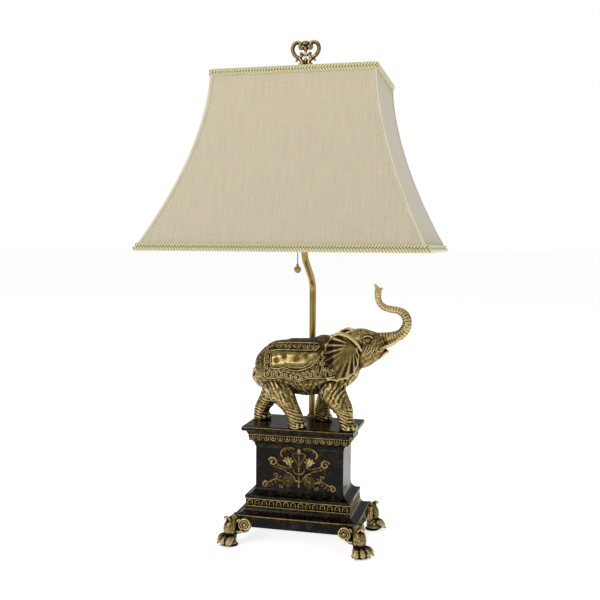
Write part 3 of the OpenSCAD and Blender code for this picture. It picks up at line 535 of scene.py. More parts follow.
def plain_cloth(name, pale, dark, size_mm, rough=0.85):
    """Plain woven or pressed cloth with a fine even grain."""
    material, tree, shader, place = new_material(name, Roughness=rough)
    grain = texture(tree, place, size_mm, detail=3, rough=0.7)
    cloud = texture(tree, place, 30, detail=2)
    level = weighted(tree, (grain, 0.7), (cloud, 0.3))
    drive(tree, shader, Base_Color=ramp(tree, level, [(0.35, dark), (0.65, pale)]))
    bump(tree, shader, grain, 0.1, 0.5)
    return material


def zinc_steel():
    """Zinc plated steel with a faint mottled bloom."""
    material, tree, shader, place = new_material("zinc plated steel", Metallic=1.0)
    bloom = texture(tree, place, 3, detail=3)
    drive(tree, shader, Base_Color=ramp(tree, bloom, [(0.35, "#8f9294"), (0.65, "#c2c4c2")]),
          Roughness=ramp(tree, bloom, [(0.3, 0.3), (0.7, 0.45)]))
    return material


def moulded(name, colour, rough):
    """A moulded rubber or phenolic part with a fine matt skin."""
    material, tree, shader, place = new_material(name)
    grain = texture(tree, place, 0.6, detail=2)
    base = linear(colour)
    pale = [min(1, c * 1.8 + 0.01) for c in base[:3]] + [1.0]
    drive(tree, shader, Base_Color=ramp(tree, grain, [(0.4, base), (0.7, pale)]),
          Roughness=ramp(tree, grain, [(0.3, rough), (0.7, rough + 0.12)]))
    bump(tree, shader, grain, 0.06, 0.4)
    return material


def frosted_glass():
    """Etched bulb glass with a soft white coat inside."""
    material, tree, shader, place = new_material(
        "frosted bulb glass", Roughness=0.35, Transmission_Weight=0.25, Subsurface_Weight=0.2)
    coat = texture(tree, place, 12, detail=2)
    drive(tree, shader, Base_Color=ramp(tree, coat, [(0.3, "#e4e3dc"), (0.7, "#f5f5f0")]))
    return material


MATERIALS = {}


def make_materials():
    """Fills MATERIALS with the finish of every slot, and of the tape that shares the braid's slot."""
    colour = tuple(bpy.context.scene.lamp_shade.cloth)
    MATERIALS.update({
        "gilt_resin": gilt_resin(),
        "black_resin": black_lacquer(),
        "antique_brass": antique_brass(),
        "zinc_steel": zinc_steel(),
        "black_rubber": moulded("moulded rubber", "#0b0b0b", 0.6),
        "felt": plain_cloth("pressed wool felt", "#1c1b19", "#0a0a0a", 0.7, 0.95),
        "liner_card": plain_cloth("fibre card", "#a5875a", "#7d6440", 1.2),
        "black_bakelite": moulded("phenolic resin", "#0d0b09", 0.4),
        "bulb_cap": zinc_steel(),
        "bulb_glass": frosted_glass(),
        "shade_silk": raw_silk(colour),
        "lining_cloth": plain_cloth("white lining cloth", "#f3f1ea", "#dedbd0", 0.8),
        "shade_braid": braid_cotton("twisted viscose braid", "#ddd7ad", "#8d8455"),
        "tape": braid_cotton("bias cut silk tape", "#d3cbb0", "#aba17f"),
    })


def finish_piece(obj, body, slot, material=None, replaces=()):
    """Gives a piece its material, the body it moves with and the solids that it stands for."""
    obj.data.materials.clear()
    obj.data.materials.append(MATERIALS[material or slot])
    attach(obj, body)
    if replaces:
        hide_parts(*replaces)


# ---------------------------------------------------------------- the shade

SHADE_TOP = high("shade_panel_front").z
SHADE_BOTTOM = low("shade_panel_front").z
SHADE_HALF_BOTTOM = high("shade_panel_right").x
LESS = (high("shade_panel_right").x - high("shade_panel_back").y)
FABRIC = 0.8 * MM


def shade_top_half():
    """Half width of the outside of the cloth at its top edge, from the wire just inside it."""
    return high("shade_top_wire").x + 0.7 * MM + FABRIC


def shade_half(z, power):
    """Half width of the outside of the cloth at height z."""
    t = np.clip((SHADE_TOP - z) / (SHADE_TOP - SHADE_BOTTOM), 0, 1)
    top = shade_top_half()
    return top + (SHADE_HALF_BOTTOM - top) * t ** power


def side_frame(turn):
    """The outward and sideways directions of a side, and how much less far out it is than wide."""
    outward_way = [Vector((0, -1, 0)), Vector((1, 0, 0)), Vector((0, 1, 0)), Vector((-1, 0, 0))][turn]
    along = [Vector((1, 0, 0)), Vector((0, 1, 0)), Vector((-1, 0, 0)), Vector((0, -1, 0))][turn]
    long_side = turn % 2 == 0
    return outward_way, along, (LESS if long_side else 0.0), (0.0 if long_side else LESS)


def cloth_side(name, turn, offset, z_low, z_high, columns, rows, ripple, thickness):
    """One side of the shade as a sheet: straight across, hollow upwards, mitred at its ends."""
    power = bpy.context.scene.lamp_shade.bell_power
    way, along, less_out, less_wide = side_frame(turn)
    verts, faces = [], []
    for r in range(rows + 1):
        z = z_low + (z_high - z_low) * r / rows
        half = float(shade_half(z, power)) + offset
        for c in range(columns + 1):
            u = 2 * c / columns - 1
            wave = ripple * math.sin(u * 41 + 3 * math.sin(z * 30 + turn)) * math.sin(u * 13 + turn)
            wave *= (1 - abs(u)) ** 0.3 * math.sin(math.pi * r / rows)
            p = way * (half - less_out + wave) + along * (u * (half - less_wide))
            verts.append((p.x, p.y, z))
    for r in range(rows):
        for c in range(columns):
            i = r * (columns + 1) + c
            faces.append([i, i + 1, i + columns + 2, i + columns + 1])
    obj = mesh_object(name, verts, faces)
    weave = obj.data.uv_layers.new(name="weave")
    for loop in obj.data.loops:
        corner = Vector(verts[loop.vertex_index])
        weave.data[loop.index].uv = (corner.dot(along) + turn, corner.z)
    apply_modifier(obj, "SOLIDIFY", thickness=thickness, offset=-1.0)
    return crisp(obj, 50)


def cut_area(turn, offset, z_low, z_high):
    """Flat width, length and area of one side's cloth."""
    power = bpy.context.scene.lamp_shade.bell_power
    z = np.linspace(z_low, z_high, 200)
    half = shade_half(z, power) + offset
    wide = 2 * (half - side_frame(turn)[3])
    run = np.hypot(np.diff(z), np.diff(half))
    return float(wide.max()), float(run.sum()), float((run * (wide[1:] + wide[:-1]) / 2).sum())


SIDES = ("front", "right", "back", "left")


class MakeShadePanels(bpy.types.Operator):
    """Four silk sides stretched over the wire frame, and the white lining inside them"""

    bl_idname = "lamp.shade_panels"
    bl_label = "Shade panels"

    def execute(self, context):
        ripple = context.scene.lamp_shade.puff
        for turn, side in enumerate(SIDES):
            z_low, z_high = SHADE_BOTTOM + 0.3 * MM, SHADE_TOP
            panel = cloth_side(f"silk_{side}", turn, 0.0, z_low, z_high, 72, 60, ripple, FABRIC)
            finish_piece(panel, "shade", "shade_silk", replaces=[f"shade_panel_{side}"])
            wide, run, area = cut_area(turn, 0.0, z_low, z_high)
            inside = -3.9 * MM
            lining = cloth_side(f"lining_{side}", turn, inside, z_low + 1 * MM, z_high - 1 * MM,
                                48, 40, ripple * 1.5, 0.4 * MM)
            finish_piece(lining, "shade", "lining_cloth", replaces=["shade_lining"])
            wide, run, area = cut_area(turn, inside, z_low + 1 * MM, z_high - 1 * MM)
        return {"FINISHED"}


class MakeCornerTapes(bpy.types.Operator):
    """Bias cut tape folded over each corner of the shade, with a turned edge along both sides"""

    bl_idname = "lamp.corner_tapes"
    bl_label = "Corner tapes"

    def execute(self, context):
        power = context.scene.lamp_shade.bell_power
        profile = [(-4.2, 0.35), (-4.0, 0.75), (-3.4, 0.85), (-2.9, 0.62), (-1.6, 0.60), (-0.5, 0.72),
                   (0.0, 0.9)]
        profile = profile + [(-a, b) for a, b in profile[-2::-1]]
        rows = 90
        for sx in (-1, 1):
            for sy in (-1, 1):
                verts, faces = [], []
                for r in range(rows + 1):
                    z = SHADE_BOTTOM + 6 * MM + (SHADE_TOP - SHADE_BOTTOM - 11 * MM) * r / rows
                    half = float(shade_half(z, power))
                    puff = 0.05 * math.sin(r * 0.37 + sx) + 0.03 * math.sin(r * 0.21 + sy)
                    for a, b in profile:
                        lift = (b + (puff if abs(a) < 3 else 0)) * MM
                        side_x = min(a, 0) * MM
                        side_y = -max(a, 0) * MM
                        x = half + (lift if a >= 0 else 0.0) + side_x
                        y = half - LESS + (lift if a <= 0 else 0.0) + side_y
                        verts.append((sx * x, sy * y, z))
                m = len(profile)
                for r in range(rows):
                    for c in range(m - 1):
                        i = r * m + c
                        faces.append([i, i + 1, i + m + 1, i + m])
                corner = ("l" if sx < 0 else "r") + ("f" if sy < 0 else "b")
                tape = mesh_object(f"corner_tape_{corner}", verts, faces)
                apply_modifier(tape, "SOLIDIFY", thickness=0.35 * MM, offset=sx * sy)
                outward(tape)
                store_relief(tape, fine_scale=0.1 * MM, broad_scale=0.3 * MM)
                finish_piece(tape, "shade", "shade_braid", "tape", ["shade_corner_tapes"])
        return {"FINISHED"}


def rectangle_path(x, y, z, step, corner=3 * MM):
    """A level rectangle with round corners, as points about step apart."""
    points = []
    for k, (sx, sy) in enumerate(((1, -1), (1, 1), (-1, 1), (-1, -1))):
        cx, cy = sx * (x - corner), sy * (y - corner)
        start = -math.pi / 2 + k * math.pi / 2
        for a in np.linspace(0, math.pi / 2, 6):
            points.append((cx + corner * math.cos(start + a), cy + corner * math.sin(start + a), z))
    points.append(points[0])
    points = np.array(points)
    run = np.concatenate([[0], np.cumsum(np.linalg.norm(np.diff(points, axis=0), axis=1))])
    n = int(run[-1] / step)
    at = np.linspace(0, run[-1], n, endpoint=False)
    return np.stack([np.interp(at, run, points[:, k]) for k in range(3)], 1)


class MakeBraid(bpy.types.Operator):
    """The braid along both edges: two laid cords, one above the other, with a thin cord by each"""

    bl_idname = "lamp.braid"
    bl_label = "Braid"

    def execute(self, context):
        shade = context.scene.lamp_shade
        for name in ("top", "bottom"):
            node_name = f"shade_braid_{name}"
            z0, z1 = low(node_name).z, high(node_name).z
            radius = (z1 - z0) / 4.0
            cords = []
            for k in range(2):
                z = z0 + radius * (1.0 + 2.0 * k)
                half = float(shade_half(min(z, SHADE_TOP), shade.bell_power)) + 0.55 * radius
                path = rectangle_path(half, half - LESS, z, 0.7 * MM)
                cords.append(closed_tube(path, radius * 0.84, 12, shade.cord_lay / 2 * (1 if k else -1),
                                         2, 0.24))
            for k in range(3):
                z = z0 + radius * (0.15 + 1.85 * k)
                half = float(shade_half(min(z, SHADE_TOP), shade.bell_power)) + 0.9 * MM
                path = rectangle_path(half, half - LESS, z, 0.9 * MM)
                cords.append(closed_tube(path, 0.75 * MM, 8, 2.2 * MM, 2, 0.22))
            braid = joined(f"braid_{name}", [cord[:2] for cord in cords])
            # Painted highlight on the crown of each twist and painted shade in its lay, kept as relief.
            layer = braid.data.attributes.new("relief", "FLOAT", "POINT")
            layer.data.foreach_set("value", np.concatenate([0.46 + 0.28 * cord[2] for cord in cords]))
            finish_piece(braid, "shade", "shade_braid", replaces=[node_name])
        return {"FINISHED"}


# ---------------------------------------------------------------- stem, harp and finial

def arc_points(cx, cz, r, start, end, n):
    """Points (x, z) along an arc, its angles in degrees from the x axis."""
    a = np.radians(np.linspace(start, end, n + 1))
    return [(cx + r * math.cos(t), cz + r * math.sin(t)) for t in a]


STEM_RADIUS = 5.15 * MM
STEM_BEND = 30 * MM
STEM_TURN = math.radians(50)


class MakeStem(bpy.types.Operator):
    """The stem tube with its two bends"""

    bl_idname = "lamp.stem"
    bl_label = "Stem"

    def execute(self, context):
        box_low, box_high = low("stem"), high("stem")
        collar = (low("stem_collar") + high("stem_collar")) / 2
        reach = math.hypot(collar.x, collar.y)
        yaw = math.atan2(collar.y, collar.x)
        turn = math.degrees(STEM_TURN)
        slope = (reach - 2 * STEM_BEND * (1 - math.cos(STEM_TURN))) / math.sin(STEM_TURN)
        upper = box_high.z - 7.5 * MM
        lower = upper - 2 * STEM_BEND * math.sin(STEM_TURN) - slope * math.cos(STEM_TURN)
        line = ([(reach, box_low.z), (reach, lower - 60 * MM), (reach, lower - 0.1 * MM)]
                + arc_points(reach - STEM_BEND, lower, STEM_BEND, 0, turn, 20)
                + arc_points(STEM_BEND, upper, STEM_BEND, 180 + turn, 180, 20) + [(0, box_high.z)])
        path = [(r * math.cos(yaw), r * math.sin(yaw), z) for r, z in line]
        stem = mesh_object("stem_tube", *tube(path, STEM_RADIUS, context.scene.lamp_metal.stem_sides,
                                              up=(-math.sin(yaw), math.cos(yaw), 0)))
        outward(stem)
        crisp(stem)
        finish_piece(stem, "lamp", "antique_brass", replaces=["stem"])
        return {"FINISHED"}


class MakeHarp(bpy.types.Operator):
    """The harp wire from one side of the saddle over the bulb to the other"""

    bl_idname = "lamp.harp"
    bl_label = "Harp"

    def execute(self, context):
        box_low, box_high = low("harp"), high("harp")
        wire = (box_high.y - box_low.y) / 2
        wide, foot = box_high.x - wire, (high("harp_sleeve_right").x + low("harp_sleeve_right").x) / 2
        base, top = box_low.z, box_high.z - wire
        flare = 25
        c, s = math.cos(math.radians(flare)), math.sin(math.radians(flare))
        low_r, mid_r, slope = 45 * MM, 60 * MM, 30 * MM
        z0 = base + 38 * MM
        z3 = z0 + low_r * s + slope * c + mid_r * s
        top_r = wide - 4 * MM
        half = ([(foot, base), (foot, z0 - 1 * MM)]
                + arc_points(foot + low_r, z0, low_r, 180, 180 - flare, 10)
                + arc_points(wide - mid_r, z3, mid_r, -flare, 0, 10)
                + arc_points(wide - top_r, top - top_r, top_r, 0, 90, 24))
        line = half + [(-x, z) for x, z in half[::-1]]
        harp = mesh_object("harp_wire", *tube([(x, 0, z) for x, z in line], wire, 20))
        outward(harp)
        crisp(harp)
        finish_piece(harp, "lamp", "antique_brass", replaces=["harp"])
        return {"FINISHED"}


class MakeFinial(bpy.types.Operator):
    """The finial's openwork: two big scrolls with curled tips, a bud between them and a lyre below"""

    bl_idname = "lamp.finial"
    bl_label = "Finial"

    def execute(self, context):
        top = high("finial").z
        base = low("finial").z
        r = context.scene.lamp_metal.scroll_radius

        def place(points, steps=6):
            return smooth_line([(x * MM, 0, top + z * MM) for x, z in points], steps)

        parts = []
        for m in (-1, 1):
            def both(points):
                return [(m * x, z) for x, z in points]
            scroll = place(both([(5.2, -10.0), (7.6, -11.6), (9.0, -9.2), (7.8, -5.2), (11.5, -2.6),
                                 (16.5, -4.0), (19.8, -9.0), (20.0, -15.0), (16.6, -21.2),
                                 (11.0, -25.4), (8.2, -26.8)]))
            n = len(scroll)
            parts.append(tube(scroll, r * np.interp(np.arange(n), [0, 8, 20, n - 12, n - 1],
                                                    [1.25, 0.8, 1.0, 1.0, 0.7]), 14, flat=1.15))
            parts.append(ball((m * 6.0 * MM, 0, top - 10.9 * MM), [2.6 * MM] * 3))
            lyre = place(both([(7.4, -19.2), (5.4, -20.4), (6.4, -23.0), (9.2, -26.2), (7.0, -29.2),
                               (5.2, -32.0), (5.6, -34.6), (9.0, -36.4), (11.4, -35.8)]))
            n = len(lyre)
            parts.append(tube(lyre, r * np.interp(np.arange(n), [0, 6, n * 0.45, n - 8, n - 1],
                                                  [1.0, 0.7, 0.95, 1.0, 0.85]), 14, flat=1.15))
            parts.append(ball((m * 7.2 * MM, 0, top - 19.0 * MM), [2.3 * MM] * 3))
            leaf = place(both([(8.6, -26.2), (12.4, -27.4), (14.6, -29.6)]))
            parts.append(tube(leaf, r * np.linspace(0.9, 0.45, len(leaf)), 12))
            parts.append(ball((m * 14.8 * MM, 0, top - 29.8 * MM), [1.7 * MM] * 3))
        parts.append(ball((0, 0, top - 4.4 * MM), (6.4 * MM, 3.4 * MM, 4.4 * MM), 12, 20))
        parts.append(ball((0, 0, top - 11.5 * MM), (4.0 * MM, 2.8 * MM, 5.2 * MM), 12, 16))
        parts.append(tube(place([(0, -14), (0, -19.0)], 4), 1.9 * MM, 14))
        parts.append(tube(place([(-6.5, -19.6), (-3, -21.4), (0, -22.0), (3, -21.4), (6.5, -19.6)], 4),
                          1.8 * MM, 12))
        parts.append(ball((0, 0, top - 28.6 * MM), (3.0 * MM, 2.6 * MM, 3.6 * MM), 12, 16))
        stalk = place([(0, -29), (0.3, -33), (0, -38), (0, -45)], 6)
        parts.append(tube(stalk, np.interp(np.arange(len(stalk)), [0, 8, len(stalk) - 1],
                                           [2.6 * MM, 2.6 * MM, 4.8 * MM]), 14))
        foot = [(x * MM, 0, base + z * MM) for x, z in ((0, 0.1), (0, 1.2), (0, 2.4), (0, 3.6))]
        parts.append(tube(foot, np.array([8.6, 9.0, 7.2, 4.0]) * MM, 32, up=(0, 1, 0)))
        finial = joined("finial_scrolls", parts)
        apply_modifier(finial, "REMESH", mode="VOXEL", voxel_size=0.42 * MM)
        apply_modifier(finial, "SMOOTH", factor=0.5, iterations=3)
        finial.data.polygons.foreach_set("use_smooth", [True] * len(finial.data.polygons))
        store_relief(finial, 3, 10, 0.06 * MM, 0.18 * MM)
        glaze_over(finial, 0.17)
        finish_piece(finial, "finial", "antique_brass", "gilt_resin", ["finial"])
        return {"FINISHED"}


# ---------------------------------------------------------------- ornament on the pedestal

PEDESTAL_LESS = high("pedestal_die").x - (high("pedestal_die").y - PEDESTAL_Y)


def pedestal_face(turn, half):
    """A function from (along, height, lift) to a point on one face of a pedestal layer."""
    way, along, _, _ = side_frame(turn)
    out = half - (PEDESTAL_LESS if turn % 2 == 0 else 0)

    def at(u, z, lift=0.0):
        p = way * (out + lift) + along * u
        return (p.x, p.y + PEDESTAL_Y, z)
    return at


def rectangle_sweep(profile):
    """A mitred ring round the pedestal; profile is a closed outline of (half width, z)."""
    verts, faces = [], []
    n = len(profile)
    for sx, sy in ((1, -1), (1, 1), (-1, 1), (-1, -1)):
        verts += [(sx * h, PEDESTAL_Y + sy * (h - PEDESTAL_LESS), z) for h, z in profile]
    for c in range(4):
        for k in range(n):
            a, b = c * n + k, c * n + (k + 1) % n
            d, e = (c + 1) % 4 * n + k, (c + 1) % 4 * n + (k + 1) % n
            faces.append([a, b, e, d])
    return verts, faces


def bead_profile(half, z, r, back):
    """A half round bead with its flat back sunk in to back."""
    return ([(half - r + r * math.cos(a), z + r * math.sin(a)) for a in np.linspace(-1.57, 1.57, 9)]
            + [(back, z + r), (back, z - r)])


def store_lift(obj, lift, bed=0.26, crown=0.86):
    """Relief for applied ornament: dark on its bed, as glaze and painted shade, and bright on its crown, as
    rubbed gilding and a painted highlight. lift is 0 to 1 there.
    """
    co, _, edges = arrays(obj.data)
    value = bed + (crown - bed) * np.clip(lift(co), 0, 1)
    value = relaxed(value, edges, 1)[:, 0]
    layer = obj.data.attributes.new("relief", "FLOAT", "POINT")
    layer.data.foreach_set("value", value)


def make_band(name, node_name, unit, pitch, beads):
    """A gilt band: a dark bed, beads along it, and a row of one repeated ornament on each face."""
    half, z0, z1 = high(node_name).x, low(node_name).z, high(node_name).z
    bed, back = half - 2.1 * MM, half - 3.9 * MM
    parts = [rectangle_sweep([(bed, z0 + 0.2 * MM), (bed, z1 - 0.2 * MM), (back, z1 - 0.2 * MM),
                              (back, z0 + 0.2 * MM)])]
    for z, r in beads(z0, z1):
        parts.append(rectangle_sweep(bead_profile(half, z, r, back)))
    for turn in range(4):
        at = pedestal_face(turn, bed)
        run = 2 * (half - (0 if turn % 2 == 0 else PEDESTAL_LESS)) - 5 * MM
        n = round(run / pitch)
        step = run / n
        for k in range(n):
            centre = -run / 2 + (k + 0.5) * step
            parts += unit(lambda u, z, lift=0.0, c=centre: at(c + u * MM, z, lift * MM), z0, z1,
                          side_frame(turn)[0])
    band = joined(name, parts)
    outward(band)
    crisp(band, 60)

    def proud(co):
        out = np.maximum(np.abs(co[:, 0]) - bed, np.abs(co[:, 1] - PEDESTAL_Y) - bed + PEDESTAL_LESS)
        return out / (1.7 * MM)
    # Painted shade with glaze on the dark bed, and a painted highlight with rubbed gilding on the proud
    # beads and ornament.
    store_lift(band, proud, 0.06, 0.66)
    finish_piece(band, "lamp", "gilt_resin", replaces=[node_name])


def arch_unit(at, z0, z1, way):
    """A round-headed arch with out-turned feet, a leaf inside it and a dart beside it."""
    up = tuple(way)
    crown = z1 - 3.6 * MM
    feet = z0 + 2.6 * MM
    line = [(-4.9, feet, 0.3), (-3.9, feet + 0.1 * MM, 0.8), (-3.5, feet + 2.4 * MM, 0.9)]
    line += [(-3.4 * math.cos(a), crown - 2.6 * MM + 3.0 * MM * math.sin(a), 0.9)
             for a in np.linspace(0.2, math.pi - 0.2, 7)]
    line += [(-u, z, lift) for u, z, lift in line[2::-1]]
    path = smooth_line([at(*p) for p in line], 2)
    arch = tube(path, np.interp(np.arange(len(path)), [0, 4, len(path) - 5, len(path) - 1],
                                [0.5, 1.05, 1.05, 0.5]) * MM, 7, up=up)
    leaf_line = smooth_line([at(0, feet + 0.2 * MM, 0.2), at(0, feet + 2.4 * MM, 0.9),
                             at(0, feet + 5.2 * MM, 0.2)], 3)
    leaf = tube(leaf_line, np.array([0.4, 0.8, 1.1, 1.3, 1.1, 0.7, 0.3]) * MM, 6, up=up, flat=0.7)
    dart_line = smooth_line([at(5.5, crown - 0.6 * MM, 0.2), at(5.5, crown - 3.4 * MM, 0.6)], 3)
    dart = tube(dart_line, np.array([0.9, 0.8, 0.6, 0.3]) * MM, 6, up=up)
    return [arch, leaf, dart]


def tongue_unit(at, z0, z1, way):
    """A hanging tongue: a round-ended rim about a swelling centre, and a dart beside it."""
    up = tuple(way)
    top, end = z1 - 2.2 * MM, z0 + 0.9 * MM
    line = [(-3.7, top, 0.6), (-3.8, top - 2.4 * MM, 1.0)]
    line += [(-3.7 * math.cos(a), end + 3.4 * MM - 3.1 * MM * math.sin(a), 1.1)
             for a in np.linspace(0.25, math.pi - 0.25, 7)]
    line += [(-u, z, lift) for u, z, lift in line[1::-1]]
    path = smooth_line([at(*p) for p in line], 2)
    rim = tube(path, 0.85 * MM, 7, up=up)
    core_line = smooth_line([at(0, top, 0.4), at(0, top - 3 * MM, 0.9), at(0, end + 1.6 * MM, 0.7)], 3)
    core = tube(core_line, np.array([1.5, 1.7, 1.9, 2.0, 1.8, 1.3, 0.5]) * MM, 8, up=up, flat=0.7)
    dart_line = smooth_line([at(5.5, top, 0.3), at(5.5, end + 1.4 * MM, 0.5)], 3)
    dart = tube(dart_line, np.array([0.8, 0.9, 0.7, 0.3]) * MM, 6, up=up)
    return [rim, core, dart]


class MakeBands(bpy.types.Operator):
    """The two gilt bands round the pedestal and the thin gilt lines on the plinth and slab"""

    bl_idname = "lamp.bands"
    bl_label = "Gilt bands"

    def execute(self, context):
        make_band("band_of_arches", "lower_gilt_band", arch_unit, 11 * MM,
                  lambda a, b: ((a + 1.1 * MM, 0.9 * MM), (b - 1.2 * MM, 1.0 * MM)))
        make_band("band_of_tongues", "upper_gilt_band", tongue_unit, 11 * MM,
                  lambda a, b: ((b - 1.15 * MM, 1.0 * MM),))
        plinth_line = ("plinth_gilt_line", high("plinth").x, low("plinth").z + 17.0 * MM, 0.9 * MM)
        slab_line = ("slab_gilt_line", high("top_slab").x - 0.1 * MM, GROUND_Z - 2.0 * MM, 0.45 * MM)
        for name, half, z, r in (plinth_line, slab_line):
            line = joined(name, [rectangle_sweep(bead_profile(half + 0.35 * MM, z, r, half - 1.5 * MM))])
            outward(line)
            crisp(line, 60)
            store_lift(line, lambda co: np.full(len(co), 0.62))
            finish_piece(line, "lamp", "gilt_resin")
        return {"FINISHED"}


def make_relief_parts(y):
    """The spray of flowers in low relief: roses, tulips, leaves and curls about a stem."""
    parts = []

    def blob(x, z, rx, rz, turn=0.0, depth=1.9, lift=0.0):
        radii = (rx * 1.25 * MM, depth * MM, rz * 1.25 * MM)
        parts.append(ball((x * MM, y - lift * MM, z * MM), radii, 7, 10, math.radians(turn)))

    def stroke(points, r0, r1, lift=0.5, wide=1.8):
        path = smooth_line([(x * MM, y - lift * MM, z * MM) for x, z in points], 4)
        parts.append(tube(path, np.linspace(r0, r1, len(path)) * wide * MM, 7))

    def rose(x, z, r, m):
        blob(x, z, r * 0.17, r * 0.17, 0, 2.4, 0.6)
        for ring, count in ((0.34, 3), (0.62, 5), (0.92, 7)):
            for k in range(count):
                middle = 2 * math.pi * (k + 1.3 * ring) / count
                sweep = 0.46 * 2 * math.pi / count
                petal = [(x + r * ring * (1 - 0.16 * abs(t)) * math.cos(middle + m * sweep * t),
                          z + r * ring * (1 - 0.16 * abs(t)) * math.sin(middle + m * sweep * t))
                         for t in (-1, -0.5, 0, 0.5, 1)]
                stroke(petal, 0.55 + 0.3 * ring, 0.75 + 0.3 * ring, 1.0 - 0.5 * ring, 1.3)

    def curl(x, z, r, start, turns, m, thick=1.0):
        line = []
        for t in np.linspace(0, 1, 14):
            a = start + m * turns * 2 * math.pi * t
            line.append((x + r * (1 - 0.78 * t) * math.cos(a), z + r * (1 - 0.78 * t) * math.sin(a)))
        stroke(line, thick, thick * 0.8, 0.6)
        blob(x, z, thick * 1.2, thick * 1.2, 0, 1.4, 0.4)

    for m in (-1, 1):
        rose(m * 16.5, 96.5, 9.6, m)
        for k, a in enumerate((20, 55, 90, 125, 160)):
            t = math.radians(a if m > 0 else 180 - a)
            x, z = m * 16.8 + 6.2 * math.cos(t), 126 + 6.4 * math.sin(t) - 1
            blob(x, z, 3.4, 1.9, -a if m > 0 else a, 2.1, 0.5)
        blob(m * 15.2, 127.0, 2.6, 5.6, m * 18, 2.4, 0.6)
        blob(m * 18.6, 125.4, 2.6, 5.4, m * 30, 2.4, 0.6)
        blob(m * 13.2, 122.2, 2.3, 4.4, m * -8, 2.2, 0.4)
        curl(m * 41, 125, 7.0, 0.3 if m > 0 else math.pi - 0.3, 1.3, m, 1.2)
        for k in range(5):
            a = math.radians(60 + 48 * k)
            x, z = m * (41 + 7.4 * math.cos(a)), 125 + 7.0 * math.sin(a)
            blob(x, z, 1.9, 1.3, m * (90 - math.degrees(a)), 1.4, 0.4)
        stroke([(m * 6, 147), (m * 12, 148.5), (m * 19, 148), (m * 26, 144), (m * 28.5, 138),
                (m * 25.5, 134)], 0.8, 1.2, 0.4)
        for k in range(6):
            t = k / 5
            z = 146.6 - 5.2 * t ** 2 + 1.6 * (k % 2)
            blob(m * (9 + 17 * t), z, 2.0, 1.3, m * (30 + 40 * t), 1.5, 0.4)
        stroke([(m * 1.5, 121), (m * 4.5, 128), (m * 9.0, 134), (m * 9.5, 139), (m * 5.5, 140)],
               0.8, 0.7, 0.4)
        stroke([(0, 107.8), (m * 4.5, 108.6), (m * 8.0, 112.2), (m * 8.6, 115.6)], 1.0, 0.7, 0.5)
        stroke([(m * 4.6, 97.6), (m * 8, 103), (m * 13.5, 108.2), (m * 19, 109.6)], 0.8, 1.1, 0.4)
        stroke([(m * 10, 118), (m * 20, 116.5), (m * 30, 120), (m * 35, 124)], 0.7, 0.8, 0.3)
        for k in range(7):
            t = k / 6
            z = 114.4 + 4.0 * t + (2.4 if k % 2 else -1.8)
            blob(m * (21 + 13 * t), z, 2.7, 1.5, m * (-30 + 60 * (k % 2)), 1.6, 0.3)
        for k in range(11):
            t = k / 10
            x = 27 + 24 * t
            z = 97.0 - 5.5 * t + 2.8 * math.sin(5 * t + 0.6)
            blob(m * x, z + (3.0 if k % 2 else -2.6), 2.9, 1.7, m * (-45 + 90 * (k % 2)), 1.6, 0.3)
        stroke([(m * 25, 95), (m * 34, 98.5), (m * 44, 95), (m * 50, 90)], 1.0, 0.8, 0.5)
        curl(m * 52.5, 88.6, 5.2, 2.2 if m > 0 else math.pi - 2.2, 1.2, -m, 1.1)
        curl(m * 36.0, 104.2, 3.6, 0.0 if m > 0 else math.pi, 1.0, m, 0.9)
        curl(m * 27.0, 87.6, 3.4, 1.0 if m > 0 else math.pi - 1.0, 1.0, -m, 0.9)
    stroke([(0, 87), (0, 96), (0, 105)], 1.0, 0.8, 0.5)
    stroke([(-5.2, 97.2), (0, 97.2), (5.2, 97.2)], 1.0, 1.0, 0.7)
    blob(0, 90.5, 1.8, 3.0, 0, 2.0, 0.4)
    stroke([(0, 112), (0, 119), (0, 130), (0, 137)], 0.9, 0.7, 0.4)
    for z, r in ((144.5, 3.0), (140.0, 1.8), (116.5, 1.8), (112.5, 1.5)):
        blob(0, z, r, r * 1.2, 0, 2.2, 0.4)
    blob(-3.4, 140.6, 2.2, 1.2, 20, 1.6, 0.4)
    blob(3.4, 140.6, 2.2, 1.2, -20, 1.6, 0.4)
    return parts


class MakePanelRelief(bpy.types.Operator):
    """The flower spray in low relief on the front of the die"""

    bl_idname = "lamp.panel_relief"
    bl_label = "Panel relief"

    def execute(self, context):
        y = high("panel_relief").y
        spray = joined("flower_spray", make_relief_parts(y))
        crisp(spray, 80)
        store_lift(spray, lambda co: (y - co[:, 1]) / (3.0 * MM), 0.30, 0.74)
        finish_piece(spray, "lamp", "gilt_resin", replaces=["panel_relief"])
        return {"FINISHED"}


# ---------------------------------------------------------------- paw feet

